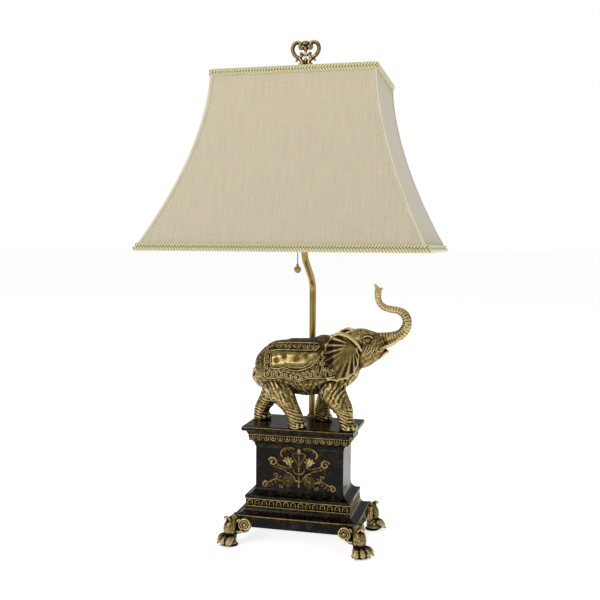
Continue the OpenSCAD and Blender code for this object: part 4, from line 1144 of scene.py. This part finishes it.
def paw_parts():
    """One foot at the origin of the plinth's corner, outwards towards +X +Y, in metres."""
    parts = []
    half_root = math.sqrt(0.5)

    def place(points):
        return [((a - b) * half_root * MM, (a + b) * half_root * MM, z * MM) for a, b, z in points]

    def limb(points, radii, sides=16, flat=1.0, turn=0.0):
        c, s = math.cos(math.radians(turn)), math.sin(math.radians(turn))
        turned = [(a * c - b * s, a * s + b * c, z) for a, b, z in points]
        path = smooth_line(place(turned), 4)
        r = np.interp(np.linspace(0, len(radii) - 1, len(path)), range(len(radii)), radii) * MM
        side = ((-half_root * c - half_root * s), (half_root * c - half_root * s), 0.0)
        parts.append(tube(path, r, sides, up=side, flat=flat))

    limb([(-4, 0, 42), (0, 0, 38), (3.5, 0, 33), (6.2, 0, 28), (6.6, 0, 22.5), (5.0, 0, 18), (5.0, 0, 14),
          (7, 0, 10)], [6, 8, 9.4, 10.2, 10.0, 8.6, 9.4, 10.4], 22)
    limb([(1, 0, 11), (6.5, 0, 9), (9, 0, 6), (8, 0, 2.5)], [9.4, 12.0, 12.8, 11.6], 22)
    for turn in (-40, -13.5, 13.5, 40):
        limb([(8, 0, 11), (13, 0, 12.6), (17, 0, 11.4), (20.4, 0, 8.6), (21.6, 0, 5.4)],
             [4.6, 5.4, 5.6, 5.2, 4.2], 14, turn=turn)
        limb([(21.4, 0, 6.6), (24.4, 0, 5.4), (25.6, 0, 3.0)], [2.3, 2.0, 1.2], 8, turn=turn)
    limb([(4, 0, 31), (7.5, 0, 36.5), (9, 0, 40.5), (12, 0, 43.6), (14.8, 0, 42.6), (14.6, 0, 40.2)],
         [3.0, 3.2, 2.6, 2.0, 1.8, 1.3], 10, flat=2.2)
    for m in (-1, 1):
        limb([(13.4, m * 3.4, 22), (14.2, m * 3.2, 29), (11.6, m * 2.2, 36)], [0.8, 1.1, 0.7], 8)
    for m in (0, 1):
        def on_face(u, out, z):
            return (out * MM, -u * MM, z * MM) if m else (-u * MM, out * MM, z * MM)
        centre_u, centre_z = 19.0, 33.0
        disc = [on_face(centre_u, t, centre_z) for t in (-2, 1, 3.4, 4.4)]
        parts.append(tube(disc, np.array([10.4, 10.4, 9.8, 8.0]) * MM, 28, up=(0, 0, 1)))
        spiral = []
        for t in np.linspace(0, 1, 64):
            a = math.radians(-60) + t * 2.35 * 2 * math.pi
            r = 9.6 - 7.6 * t
            spiral.append(on_face(centre_u - r * math.cos(a), 4.6 + 1.4 * t, centre_z + r * math.sin(a)))
        parts.append(tube(spiral, np.linspace(1.75, 1.25, 64) * MM, 9, up=(0, 0.1, 1)))
        parts.append(ball(on_face(centre_u, 6.2, centre_z), [2.2 * MM] * 3, 8, 12))
        link = smooth_line([on_face(15, 2.0, 22.6), on_face(9, 2.2, 20.8), on_face(4, 3.0, 22),
                            on_face(0.5, 3.0, 26)], 4)
        parts.append(tube(link, np.linspace(3.4, 4.6, len(link)) * MM, 12, up=(0, 0.1, 1)))
        rise = smooth_line([on_face(12, 3.0, 39.5), on_face(7, 3.4, 37), on_face(3, 3.0, 33)], 4)
        parts.append(tube(rise, np.linspace(2.2, 4.0, len(rise)) * MM, 10, up=(0, 0.1, 1)))
        web = [on_face(19, -1.0, 27), on_face(10, -1.5, 25), on_face(2, -1.0, 25)]
        parts.append(tube(web, 5.0 * MM, 12, up=(0, 0.1, 1)))
    parts.append(tube([(-12 * MM, -12 * MM, z * MM) for z in (16.5, 20, 24, 27.8)],
                      np.array([8, 9, 11, 11.8]) * MM, 20, up=(0, 1, 0)))
    return parts


class MakePaws(bpy.types.Operator):
    """Four lion's paw feet with a curled leaf above and a volute on each side of the corner"""

    bl_idname = "lamp.paws"
    bl_label = "Paw feet"

    def execute(self, context):
        floor = high("felt_pads").z
        first = joined("paw_pattern", paw_parts())
        apply_modifier(first, "REMESH", mode="VOXEL", voxel_size=0.75 * MM)
        apply_modifier(first, "SMOOTH", factor=0.5, iterations=2)
        co, no, _ = arrays(first.data)
        diagonal = (co[:, 0] + co[:, 1]) / math.sqrt(2) / MM
        z = co[:, 2] / MM
        cuff = -0.8 * np.exp(-((z - 18.6 + 0.12 * diagonal) / 1.2) ** 2)
        fur = 0.04 * np.cos(2 * math.pi * (np.arctan2(co[:, 1], co[:, 0]) * 4.2 + z / 14))
        fur *= np.clip((z - 18) / 6, 0, 1) * np.clip((38 - z) / 8, 0, 1)
        co += no * ((cuff + fur + 0.10 * noise_at(co, 3 * MM, 4.0)) * MM)[:, None]
        co[:, 2] = np.maximum(co[:, 2], floor)
        first.data.vertices.foreach_set("co", co.ravel())
        first.data.update()
        corner_x, corner_y = high("plinth").x, high("plinth").x - PEDESTAL_LESS
        for name, sx, sy in (("front_left", -1, -1), ("front_right", 1, -1),
                             ("back_left", -1, 1), ("back_right", 1, 1)):
            paw = bpy.data.objects.new(f"paw_{name}", first.data.copy())
            context.scene.collection.objects.link(paw)
            paw.data.transform(Matrix.Translation((sx * corner_x, PEDESTAL_Y + sy * corner_y, 0))
                               @ Matrix.Diagonal((sx, sy, 1, 1)))
            if sx * sy < 0:
                paw.data.flip_normals()
            paw.data.polygons.foreach_set("use_smooth", [True] * len(paw.data.polygons))
            store_relief(paw, 3, 14, 0.13 * MM, 0.55 * MM)
            glaze_over(paw, 0.10)
            finish_piece(paw, "lamp", "gilt_resin", replaces=[f"foot_{name}"])
        bpy.data.objects.remove(first)
        return {"FINISHED"}


# ---------------------------------------------------------------- the elephant

EAR_HINGE = (83.0, 309.0)
EAR_RIM = ((66, 325), (52, 320), (42, 305), (37, 286), (38, 267), (47, 257.5), (58, 256), (68, 258),
           (78, 262), (86, 270), (91, 283), (92, 296))
EAR_PLEATS = 11
EYE = (103.0, 315.5)
TRUNK = ((104, 308, 18), (114, 311, 14), (122, 316, 10), (135, 319, 8.5), (147, 323, 8), (155, 331, 7.7),
         (158.5, 342, 7), (155, 353, 6.5), (146, 359.5, 5.8), (135, 361, 5.2), (125, 363.5, 5),
         (117.5, 369, 4.8), (114, 377, 4.8), (114, 386, 5.2), (112.5, 394, 3))
TUSK = ((112, 11, 300, 2.6), (120, 12.5, 303.5, 2.6), (131, 14, 307.5, 2.6), (142, 14.5, 313, 2.2),
        (151, 14, 322, 0.9))
FEET = ((74.8, -25.0), (-1.8, -29.0), (-71.2, 18.2), (24.3, 33.2))
SADDLE = ((-52, 306), (-53, 290), (-52, 270), (-50, 257), (-38, 256), (-25, 258), (-10, 254.5),
          (0, 253.5), (15, 258), (30, 259.5), (45, 260), (57, 262))


def ear_back(x):
    """How far out the back of an ear lies, in mm: it swings away from the head behind the hinge."""
    return 30.6 + (86 - x) * 0.16


def ear_parts(side):
    """One pleated ear: a fan of ridges from the hinge to the rim, and the rolled band above it."""
    rim = smooth_line(EAR_RIM, 12)
    reach = np.concatenate([[0], np.cumsum(np.linalg.norm(np.diff(rim, axis=0), axis=1))])
    reach /= reach[-1]
    n, m = 170, 34
    hinge = np.array(EAR_HINGE)
    front, back = [], []
    for i in range(n + 1):
        t = i / n
        edge = np.array([np.interp(t, reach, rim[:, 0]), np.interp(t, reach, rim[:, 1])])
        fold = math.cos(2 * math.pi * EAR_PLEATS * t)
        fold = max(-0.75, math.copysign(abs(fold) ** 1.1, fold))
        for j in range(m + 1):
            r = j / m
            p = hinge + (edge - hinge) * r * (1 + 0.025 * fold * r)
            rise = min(1.0, max(0.0, (r - 0.02) / 0.34))
            ridge = 1.05 * rise * fold * (0.75 + 0.4 * math.sin(9 * t))
            out = ear_back(p[0]) + 1.0 + ridge - 2.4 * (1 - rise) ** 2
            out += 2.4 * r ** 4
            front.append((p[0] * MM, side * out * MM, p[1] * MM))
            back.append((p[0] * MM, side * (out - 3.0) * MM, p[1] * MM))
    w = m + 1
    count = (n + 1) * w
    faces = []
    for i in range(n):
        for j in range(m):
            a = i * w + j
            faces.append([a, a + 1, a + w + 1, a + w])
            faces.append([a + count, a + w + count, a + w + 1 + count, a + 1 + count])
        a = i * w + m
        faces.append([a, a + count, a + w + count, a + w])
        b = i * w
        faces.append([b, b + w, b + w + count, b + count])
    for i in (0, n):
        for j in range(m):
            a = i * w + j
            faces.append([a, a + count, a + 1 + count, a + 1])
    parts = [(front + back, faces)]
    band = smooth_line([(50, side * 38.5, 321), (60, side * 36.8, 326), (71, side * 34.2, 324.5),
                        (82, side * 31.5, 317.5), (90, side * 30, 309), (95, side * 28.5, 300)], 5) * MM
    parts.append(tube(band, np.interp(np.arange(len(band)), [0, 8, 18, len(band) - 1],
                                      [1.6, 3.0, 3.0, 1.8]) * MM, 14))
    return parts


def elephant_body():
    """The solid elephant with its ears, toenails and brow added, joined as one mesh."""
    cad = frame["nodes"]["elephant"]
    mesh = bpy.data.meshes.new("elephant_skin")
    form = bmesh.new()
    form.from_mesh(cad.data)
    bmesh.ops.remove_doubles(form, verts=form.verts, dist=1e-6)
    form.to_mesh(mesh)
    form.free()
    verts, _, _ = arrays(mesh)
    parts = [(verts, [list(p.vertices) for p in mesh.polygons])]
    for side in (-1, 1):
        parts += ear_parts(side)
        parts.append(ball((102 * MM, side * 16.5 * MM, 316 * MM), (5.2 * MM, 4.6 * MM, 3.6 * MM), 12, 18))
        brow = smooth_line([(94, side * 17, 318), (98, side * 18.6, 321.5), (104, side * 18, 322),
                            (109, side * 15.2, 319)], 4) * MM
        parts.append(tube(brow, 1.2 * MM, 10))
    for lip in (((114.5, 0, 386), (113.4, 0, 391.5), (110.2, 0, 396.5), (108.6, 0, 398.6)),
                ((114.5, 0, 386), (116.6, 0, 389.6), (119.4, 0, 391.6), (121.4, 0, 391.4))):
        parts.append(tube(smooth_line(lip, 4) * MM, np.linspace(4.6, 1.1, 13) * MM, 14))
    for x, y in FEET:
        for degrees in (-75, -42, -10, 22, 55) if y < 0 else (75, 42, 10, -22, -55):
            a = math.radians(degrees)
            parts.append(ball(((x + 12.6 * math.cos(a)) * MM, (y + 12.9 * math.sin(a)) * MM, 185.6 * MM),
                              (2.9 * MM, 2.9 * MM, 4.4 * MM), 10, 14))
    return joined("elephant_figure", parts)


def saddle_mask(co):
    """One inside the saddle cloth's edge, falling to zero just outside it."""
    x, z = co[:, 0] / MM, co[:, 2] / MM
    edge = smooth_line(SADDLE, 6)
    bottom = np.interp(x, edge[18:, 0], edge[18:, 1])
    inside = np.minimum(np.minimum(z - bottom, x + 52), 54 - x)
    return np.clip(inside / 0.9, 0, 1)


def sculpt_elephant(obj):
    """Moves the skin in and out: cloth, folds of the legs, trunk rings, eye wrinkles and grain."""
    figure = bpy.context.scene.lamp_figure
    co, no, _ = arrays(obj.data)
    x, y, z = (co[:, k] / MM for k in range(3))
    fine = noise_at(co, 3.2 * MM, 1.0)
    coarse = noise_at(co, 9 * MM, 2.0)
    ear = np.zeros(len(co))
    rim = np.array([EAR_HINGE] + list(EAR_RIM))
    for a, b in zip(rim, np.roll(rim, -1, 0)):
        cross = ((a[1] > z) != (b[1] > z)) & (x < (b[0] - a[0]) * (z - a[1]) / (b[1] - a[1] + 1e-9) + a[0])
        ear = np.where(cross, 1 - ear, ear)
    ear *= (np.abs(y) > ear_back(x) - 4)
    cloth = saddle_mask(co) * (1 - ear)
    skin = (1 - cloth) * (1 - ear)
    move = cloth * figure.cloth_lift / MM

    leg = np.clip((262 - z) / 14, 0, 1) * skin
    low_leg = np.clip((226 - z) / 16, 0, 1)
    broad = noise_at(co, 16 * MM, 7.0)
    rings = np.cos(2 * math.pi * (z + 1.8 * coarse + 0.25 * x) / 4.4)
    swing = np.where(x < 15, 0.85, -0.85)
    diagonal = np.cos(2 * math.pi * (z * 0.45 + swing * x + 2.2 * coarse + 3 * broad) / 6.4)
    folds = low_leg * rings + (1 - low_leg) * diagonal
    patch = np.clip(0.55 + 1.3 * noise_at(co, 12 * MM, 9.0), 0.15, 1)
    move += leg * patch * figure.wrinkle_depth / MM * np.where(folds > 0, folds * 0.5, -np.abs(folds) ** 1.6)

    path = smooth_line([(a, 0, b) for a, b, _ in TRUNK], 12)
    radius = np.interp(np.arange(len(path)), np.arange(len(TRUNK)) * 12, [r for _, _, r in TRUNK])
    run = np.concatenate([[0], np.cumsum(np.linalg.norm(np.diff(path, axis=0), axis=1))])
    near = np.nonzero((x > 106) & (z > 296))[0]
    gap = np.linalg.norm(co[near, None, :] / MM - path[None, :, :], axis=2)
    best = gap.argmin(1)
    on_trunk = np.clip((radius[best] + 4 - gap[np.arange(len(near)), best]) / 2, 0, 1)
    on_trunk *= np.clip((run[best] - 10) / 14, 0, 1)
    pitch = 4.1
    wave = np.cos(2 * math.pi * (run[best] + 0.5 * coarse[near]) / pitch)
    groove = -np.clip(-wave - 0.25, 0, 1) ** 1.2
    strong = 0.55 + 0.45 * np.clip((z[near] - 316) / 10, 0, 1) * np.clip((372 - z[near]) / 10, 0, 1)
    inner = np.clip(0.60 + 0.5 * (no[near, 0] * -0.8 + 0.4 * no[near, 2]), 0.5, 1)
    move[near] += on_trunk * strong * inner * 1.15 * (groove + 0.25)

    away = np.hypot(x - EYE[0], z - EYE[1])
    face = np.clip((away - 4.2) / 2, 0, 1) * np.clip((17 - away) / 8, 0, 1) * (np.abs(y) > 7) * skin
    move += 0.16 * face * np.cos(2 * math.pi * (away + 2.2 * coarse) / 3.5)
    cheek = np.clip(1 - np.hypot((x - 104) / 17, (z - 301) / 10), 0, 1) * (np.abs(y) > 8) * skin
    move += 0.3 * np.clip(cheek * 2, 0, 1) * np.cos(2 * math.pi * (0.9 * x - 0.35 * z + 2.2 * coarse) / 3.2)
    neck = np.clip(1 - np.hypot((x - 74) / 22, (z - 262) / 22), 0, 1) * skin
    move += 0.3 * np.clip(neck * 2, 0, 1) * np.cos(2 * math.pi * (x * 0.8 - z * 0.5 + 2 * coarse) / 5.0)
    back = np.clip((-50 - x) / 6, 0, 1) * skin
    move += 0.14 * back * np.cos(2 * math.pi * (x * 0.5 + z + 5 * coarse) / 7.0)
    move += (0.24 * fine + 0.3 * coarse) * skin + 0.08 * fine * cloth
    co += no * (move * MM)[:, None]
    co[:, 2] = np.maximum(co[:, 2], GROUND_Z)
    obj.data.vertices.foreach_set("co", co.ravel())
    obj.data.update()


def glaze_shade_and_highlight_needlework(obj):
    """Darkens the ground of the needlework outside the smooth middle of the cloth, as glaze and painted
    shade, and lightens the smooth middle as a painted highlight.
    """
    co, _, _ = arrays(obj.data)
    x, z = co[:, 0] / MM, co[:, 2] / MM
    middle = np.clip(np.minimum(np.minimum(x + 42, 30 - x), np.minimum(z - 272, 297 - z)) / 1.5, 0, 1)
    ground = saddle_mask(co) * (1 - middle) * np.clip((x + 80) / 4, 0, 1)
    value = np.empty(len(co))
    layer = obj.data.attributes["relief"]
    layer.data.foreach_get("value", value)
    # Painted shade with glaze in the ground of the needlework, and a painted highlight on the smooth middle
    # of the cloth.
    layer.data.foreach_set("value", np.clip(value - 0.20 * ground + 0.06 * middle * saddle_mask(co), 0, 1))


class MakeElephant(bpy.types.Operator):
    """The cast elephant with its pleated ears, folded skin and saddle cloth"""

    bl_idname = "lamp.elephant"
    bl_label = "Elephant"

    def execute(self, context):
        figure = elephant_body()
        apply_modifier(figure, "REMESH", mode="VOXEL", voxel_size=context.scene.lamp_figure.grain)
        apply_modifier(figure, "SMOOTH", factor=0.5, iterations=3)
        sculpt_elephant(figure)
        figure.data.polygons.foreach_set("use_smooth", [True] * len(figure.data.polygons))
        store_relief(figure, 3, 16, 0.24 * MM, 1.0 * MM)
        glaze_shade_and_highlight_needlework(figure)
        finish_piece(figure, "lamp", "gilt_resin", replaces=["elephant"])
        return {"FINISHED"}


class MakeTusks(bpy.types.Operator):
    """Two short tusks that curl up beside the trunk"""

    bl_idname = "lamp.tusks"
    bl_label = "Tusks"

    def execute(self, context):
        parts = []
        for side in (-1, 1):
            line = smooth_line([(a, side * b, c) for a, b, c, _ in TUSK], 6) * MM
            radii = np.interp(np.arange(len(line)), np.arange(len(TUSK)) * 6, [r for *_, r in TUSK]) * MM
            parts.append(tube(line, radii, 14))
        tusks = joined("tusks", parts)
        crisp(tusks, 60)
        store_lift(tusks, lambda co: np.clip((co[:, 0] / MM - 112) / 30, 0, 1), 0.4, 0.9)
        finish_piece(tusks, "lamp", "gilt_resin", replaces=["elephant_tusks"])
        return {"FINISHED"}


def tracery_parts(skin, side):
    """The raised needlework on one flank: rope edges, scrolls, swag, rosettes and the beaded strap."""
    parts = []

    def on_skin(x, z, lift=0.0):
        start = Vector((x * MM, side * 0.09, z * MM))
        hit, normal, _, _ = skin.ray_cast(start, Vector((0, -side, 0)), 0.09)
        if hit is None:
            return None
        return hit + normal * lift * MM

    def stroke(points, radius, lift=0.25, steps=4, **rope):
        flat_line = smooth_line(points, steps)
        path = [on_skin(a, b, lift) for a, b in flat_line]
        path = [p for p in path if p is not None]
        if len(path) > 2:
            parts.append(tube([tuple(p) for p in path], radius * MM, rope.pop("sides", 6),
                              up=(0, side, 0.01), **rope))

    def blob(x, z, r, squeeze=0.6, turn=0.0, long=1.0):
        p = on_skin(x, z, 0.1)
        if p is not None:
            parts.append(ball(tuple(p), (r * MM, r * squeeze * MM, r * long * MM), 5, 8, turn))

    def scroll(x, z, r, start, way, radius=0.85):
        points = []
        for t in np.linspace(0, 1, 11):
            a = start + way * t * 2 * math.pi * 1.25
            points.append((x + r * (1 - 0.8 * t) * math.cos(a), z + r * (1 - 0.8 * t) * math.sin(a)))
        stroke(points, radius, 0.45, 2)
        blob(x, z, 1.1)
        for k in range(3):
            a = start + way * (0.9 + 1.3 * k)
            blob(x + (r + 1.1) * math.cos(a), z + (r + 1.1) * math.sin(a), 1.0, 0.7, -a, 1.7)

    rope = dict(sides=10, lobes=2, lobe_depth=0.22, twist=2 * math.pi / 0.005)
    stroke(SADDLE, 1.35, 0.5, 12, **rope)
    stroke([(-46, 305), (-30, 307), (-10, 308), (10, 308.5), (28, 309)], 0.9, 0.3, 12, **rope)
    stroke([(-43, 296), (-30, 298), (-10, 298.5), (10, 299), (28, 300)], 0.8, 0.3, 8)
    stroke([(-43, 297), (-43, 285), (-41, 272), (-30, 271), (-20, 272.5), (-8, 269.5), (0, 269),
            (12, 272), (22, 277), (30, 286), (36, 298)], 0.8, 0.3, 8)
    for k in range(14):
        x = -46.5 + 7.4 * k
        bottom = float(np.interp(x, [p[0] for p in SADDLE[3:]], [p[1] for p in SADDLE[3:]]))
        scroll(x, bottom + 4.9, 3.3, (0.6, 2.5)[k % 2], (1, -1)[k % 2])
        if x < 54:
            scroll(x + 3.6, bottom + 10.4, 2.7, (3.6, 5.6)[k % 2], (-1, 1)[k % 2], 0.75)
    for k in range(4):
        scroll(-47.6, 271.5 + 7.4 * k, 3.3, (1.2, 4.2)[k % 2], (1, -1)[k % 2])
    for k in range(11):
        scroll(-43 + 7.2 * k, 302.8, 2.7, (0.4, 3.5)[k % 2], (1, -1)[k % 2], 0.75)
    for row in range(3):
        for k in range(2):
            scroll(31.5 + 8 * k, 274 + 8 * row, 3.5, (0.6, 2.5, 4)[row], (1, -1)[(k + row) % 2])
    swag = [(-20, 276), (-10, 274), (0, 273.5), (10, 275), (19, 280), (24, 288), (25, 296)]
    stroke(swag, 0.7, 0.3, 6)
    stroke([(a, b + 4.2) for a, b in swag], 0.55, 0.3, 6)
    for x, z, r in ((-33, 283, 3.4), (-21, 289, 3.0), (-2, 287, 3.4), (12, 291, 2.4)):
        for k in range(6):
            a = 2 * math.pi * k / 6
            blob(x + r * 0.62 * math.cos(a), z + r * 0.62 * math.sin(a), r * 0.30)
        blob(x, z, r * 0.32, 0.9)
        stroke([(x + r * 1.25 * math.cos(a), z + r * 1.25 * math.sin(a)) for a in np.linspace(0, 6.28, 15)],
               0.42, 0.2, 1)
    for low_x, high_x in ((-18, -22), (-10, -14), (24, 20), (32, 28)):
        stroke([(high_x, 252), (low_x, 243), (low_x + 3, 233)], 0.75, 0.2, 6, sides=8, lobes=2,
               lobe_depth=0.2, twist=2 * math.pi / 0.004)
    for k in range(12):
        blob(-11.5 + 2.9 * k, 250.4 - 1.2 * math.sin(k * math.pi / 11), 1.0)
        blob(-9.5 + 2.9 * k, 246.6 - 1.2 * math.sin(k * math.pi / 11), 0.8)
    return parts


class MakeTracery(bpy.types.Operator):
    """The raised needlework of the saddle cloth and the elephant's eyes"""

    bl_idname = "lamp.tracery"
    bl_label = "Saddle cloth needlework"

    def execute(self, context):
        figure = bpy.data.objects["elephant_figure"]
        skin = BVHTree.FromObject(figure, context.evaluated_depsgraph_get())
        parts = []
        for side in (-1, 1):
            parts += tracery_parts(skin, side)
        work = joined("saddle_needlework", parts)
        crisp(work, 70)
        heights = np.array([skin.find_nearest(v.co)[3] for v in work.data.vertices])
        store_lift(work, lambda co: heights / (1.0 * MM), 0.30, 0.80)
        finish_piece(work, "lamp", "gilt_resin")
        eyes = []
        for side in (-1, 1):
            start = Vector((EYE[0] * MM, side * 0.09, EYE[1] * MM))
            hit, normal, _, _ = skin.ray_cast(start, Vector((0, -side, 0)), 0.09)
            eyes.append(ball(tuple(hit + normal * 0.4 * MM), (2.2 * MM, 1.5 * MM, 1.7 * MM), 12, 18))
            for bow in (2.3, -1.9):
                lid = []
                for t in np.linspace(-1, 1, 9):
                    a = Vector(((EYE[0] + 4.0 * t) * MM, side * 0.09, (EYE[1] + bow * (1 - t * t)) * MM))
                    spot, way, _, _ = skin.ray_cast(a, Vector((0, -side, 0)), 0.09)
                    lid.append(tuple(spot + way * 0.5 * MM))
                eyes.append(tube(smooth_line(lid, 2), 0.6 * MM, 8, up=(0, side, 0.01)))
        pair = joined("eyes", eyes)
        crisp(pair, 70)
        store_lift(pair, lambda co: np.full(len(co), 0.6))
        finish_piece(pair, "lamp", "gilt_resin")
        return {"FINISHED"}


# ---------------------------------------------------------------- solid pieces that stay

class FinishSolids(bpy.types.Operator):
    """Gives every solid piece that stays in view its own material"""

    bl_idname = "lamp.finish_solids"
    bl_label = "Finishes of the solid pieces"

    def execute(self, context):
        slots = {part["node"]: part["material_slot"] for part in frame["record"]["subparts"]}
        for name, solid in frame["nodes"].items():
            solid.data.materials.clear()
            solid.data.materials.append(MATERIALS[slots[name]])
            solid.data.polygons.foreach_set("material_index", [0] * len(solid.data.polygons))
        return {"FINISHED"}


# ---------------------------------------------------------------- floor, lights and camera

LENS_MM = 49.09
SENSOR_MM = 36.0
CAMERA_PLACE = (0.29390, -1.21381, 0.45490)
CAMERA_YAW, CAMERA_DOWN, CAMERA_ROLL = 13.8866, 3.7874, 0.4042
FLOOR_GLOW = 0.67
ROOM_LIGHT = 0.34
LIGHTS_AIM = (0, 0, 0.40)
SOFT_LIGHTS = (("key", (-1.2, -2.0, 1.5), (1.1, 1.1), 21),
               ("side", (2.2, -0.9, 1.2), (0.9, 1.6), 5.5),
               ("top", (0, 0.2, 2.8), (2.2, 2.2), 30))


def soft_light(name, place, size, power):
    """A rectangular light of size metres and power watts, turned towards the lamp."""
    data = bpy.data.lights.new(name, "AREA")
    data.shape = "RECTANGLE"
    data.size, data.size_y = size
    data.energy = power
    light = bpy.data.objects.new(name, data)
    bpy.context.scene.collection.objects.link(light)
    light.location = place
    light.rotation_euler = (Vector(LIGHTS_AIM) - Vector(place)).to_track_quat("-Z", "Y").to_euler()


class SetStage(bpy.types.Operator):
    """The pale floor, soft lights, white surroundings and the camera"""

    bl_idname = "lamp.stage"
    bl_label = "Floor, lights and camera"

    def execute(self, context):
        scene = context.scene
        corners = [(-60, -60, 0), (60, -60, 0), (60, 60, 0), (-60, 60, 0)]
        floor = mesh_object("floor", corners, [[0, 1, 2, 3]], False)
        pale, _, shader, _ = new_material("matt white paper", Roughness=0.9)
        shader.inputs["Base Color"].default_value = linear("#f4f4f4")
        shader.inputs["Emission Color"].default_value = (1, 1, 1, 1)
        shader.inputs["Emission Strength"].default_value = FLOOR_GLOW
        floor.data.materials.append(pale)
        world = bpy.data.worlds.new("white room")
        world.use_nodes = True
        tree = world.node_tree
        background = tree.nodes["Background"]
        background.inputs["Color"].default_value = (1, 1, 1, 1)
        seen = node(tree, "ShaderNodeLightPath").outputs["Is Camera Ray"]
        power = maths(tree, "ADD", ROOM_LIGHT, maths(tree, "MULTIPLY", seen, 1.0 - ROOM_LIGHT))
        tree.links.new(power, background.inputs["Strength"])
        scene.world = world
        for light in SOFT_LIGHTS:
            soft_light(*light)
        lens = bpy.data.cameras.new("camera")
        lens.lens, lens.sensor_width = LENS_MM, SENSOR_MM
        lens.clip_start = 0.05
        camera = bpy.data.objects.new("camera", lens)
        scene.collection.objects.link(camera)
        turn = (Matrix.Rotation(math.radians(CAMERA_YAW), 4, "Z")
                @ Matrix.Rotation(math.radians(90 - CAMERA_DOWN), 4, "X")
                @ Matrix.Rotation(math.radians(CAMERA_ROLL), 4, "Z"))
        camera.matrix_world = Matrix.Translation(CAMERA_PLACE) @ turn
        scene.camera = camera
        scene.view_settings.view_transform = "Standard"
        scene.view_settings.look = "None"
        return {"FINISHED"}


# ---------------------------------------------------------------- panel and running order

STEPS = (FinishSolids, MakeCornerTapes, MakeBraid, MakeShadePanels, MakeStem, MakeHarp, MakeFinial,
         MakeBands, MakePanelRelief, MakePaws, MakeElephant, MakeTracery, MakeTusks, SetStage)


class LampPanel(bpy.types.Panel):
    """Lists the lamp's pieces in the sidebar"""

    bl_idname = "VIEW3D_PT_lamp"
    bl_label = "Elephant table lamp"
    bl_space_type = "VIEW_3D"
    bl_region_type = "UI"
    bl_category = "Lamp"

    def draw(self, context):
        for settings in (context.scene.lamp_shade, context.scene.lamp_metal, context.scene.lamp_figure):
            box = self.layout.box()
            for name in settings.bl_rna.properties.keys():
                if name not in ("rna_type", "name"):
                    box.prop(settings, name)
        for step in STEPS:
            self.layout.operator(step.bl_idname)


CLASSES = (LampShadeSettings, LampMetalSettings, LampFigureSettings, *STEPS, LampPanel)


def register():
    for each in CLASSES:
        bpy.utils.register_class(each)
    bpy.types.Scene.lamp_shade = PointerProperty(type=LampShadeSettings)
    bpy.types.Scene.lamp_metal = PointerProperty(type=LampMetalSettings)
    bpy.types.Scene.lamp_figure = PointerProperty(type=LampFigureSettings)


def unregister():
    del bpy.types.Scene.lamp_figure, bpy.types.Scene.lamp_metal, bpy.types.Scene.lamp_shade
    for each in reversed(CLASSES):
        bpy.utils.unregister_class(each)


def main():
    register()
    make_materials()
    for step in STEPS:
        family, name = step.bl_idname.split(".")
        getattr(getattr(bpy.ops, family), name)()


if __name__ == "__main__":
    main()
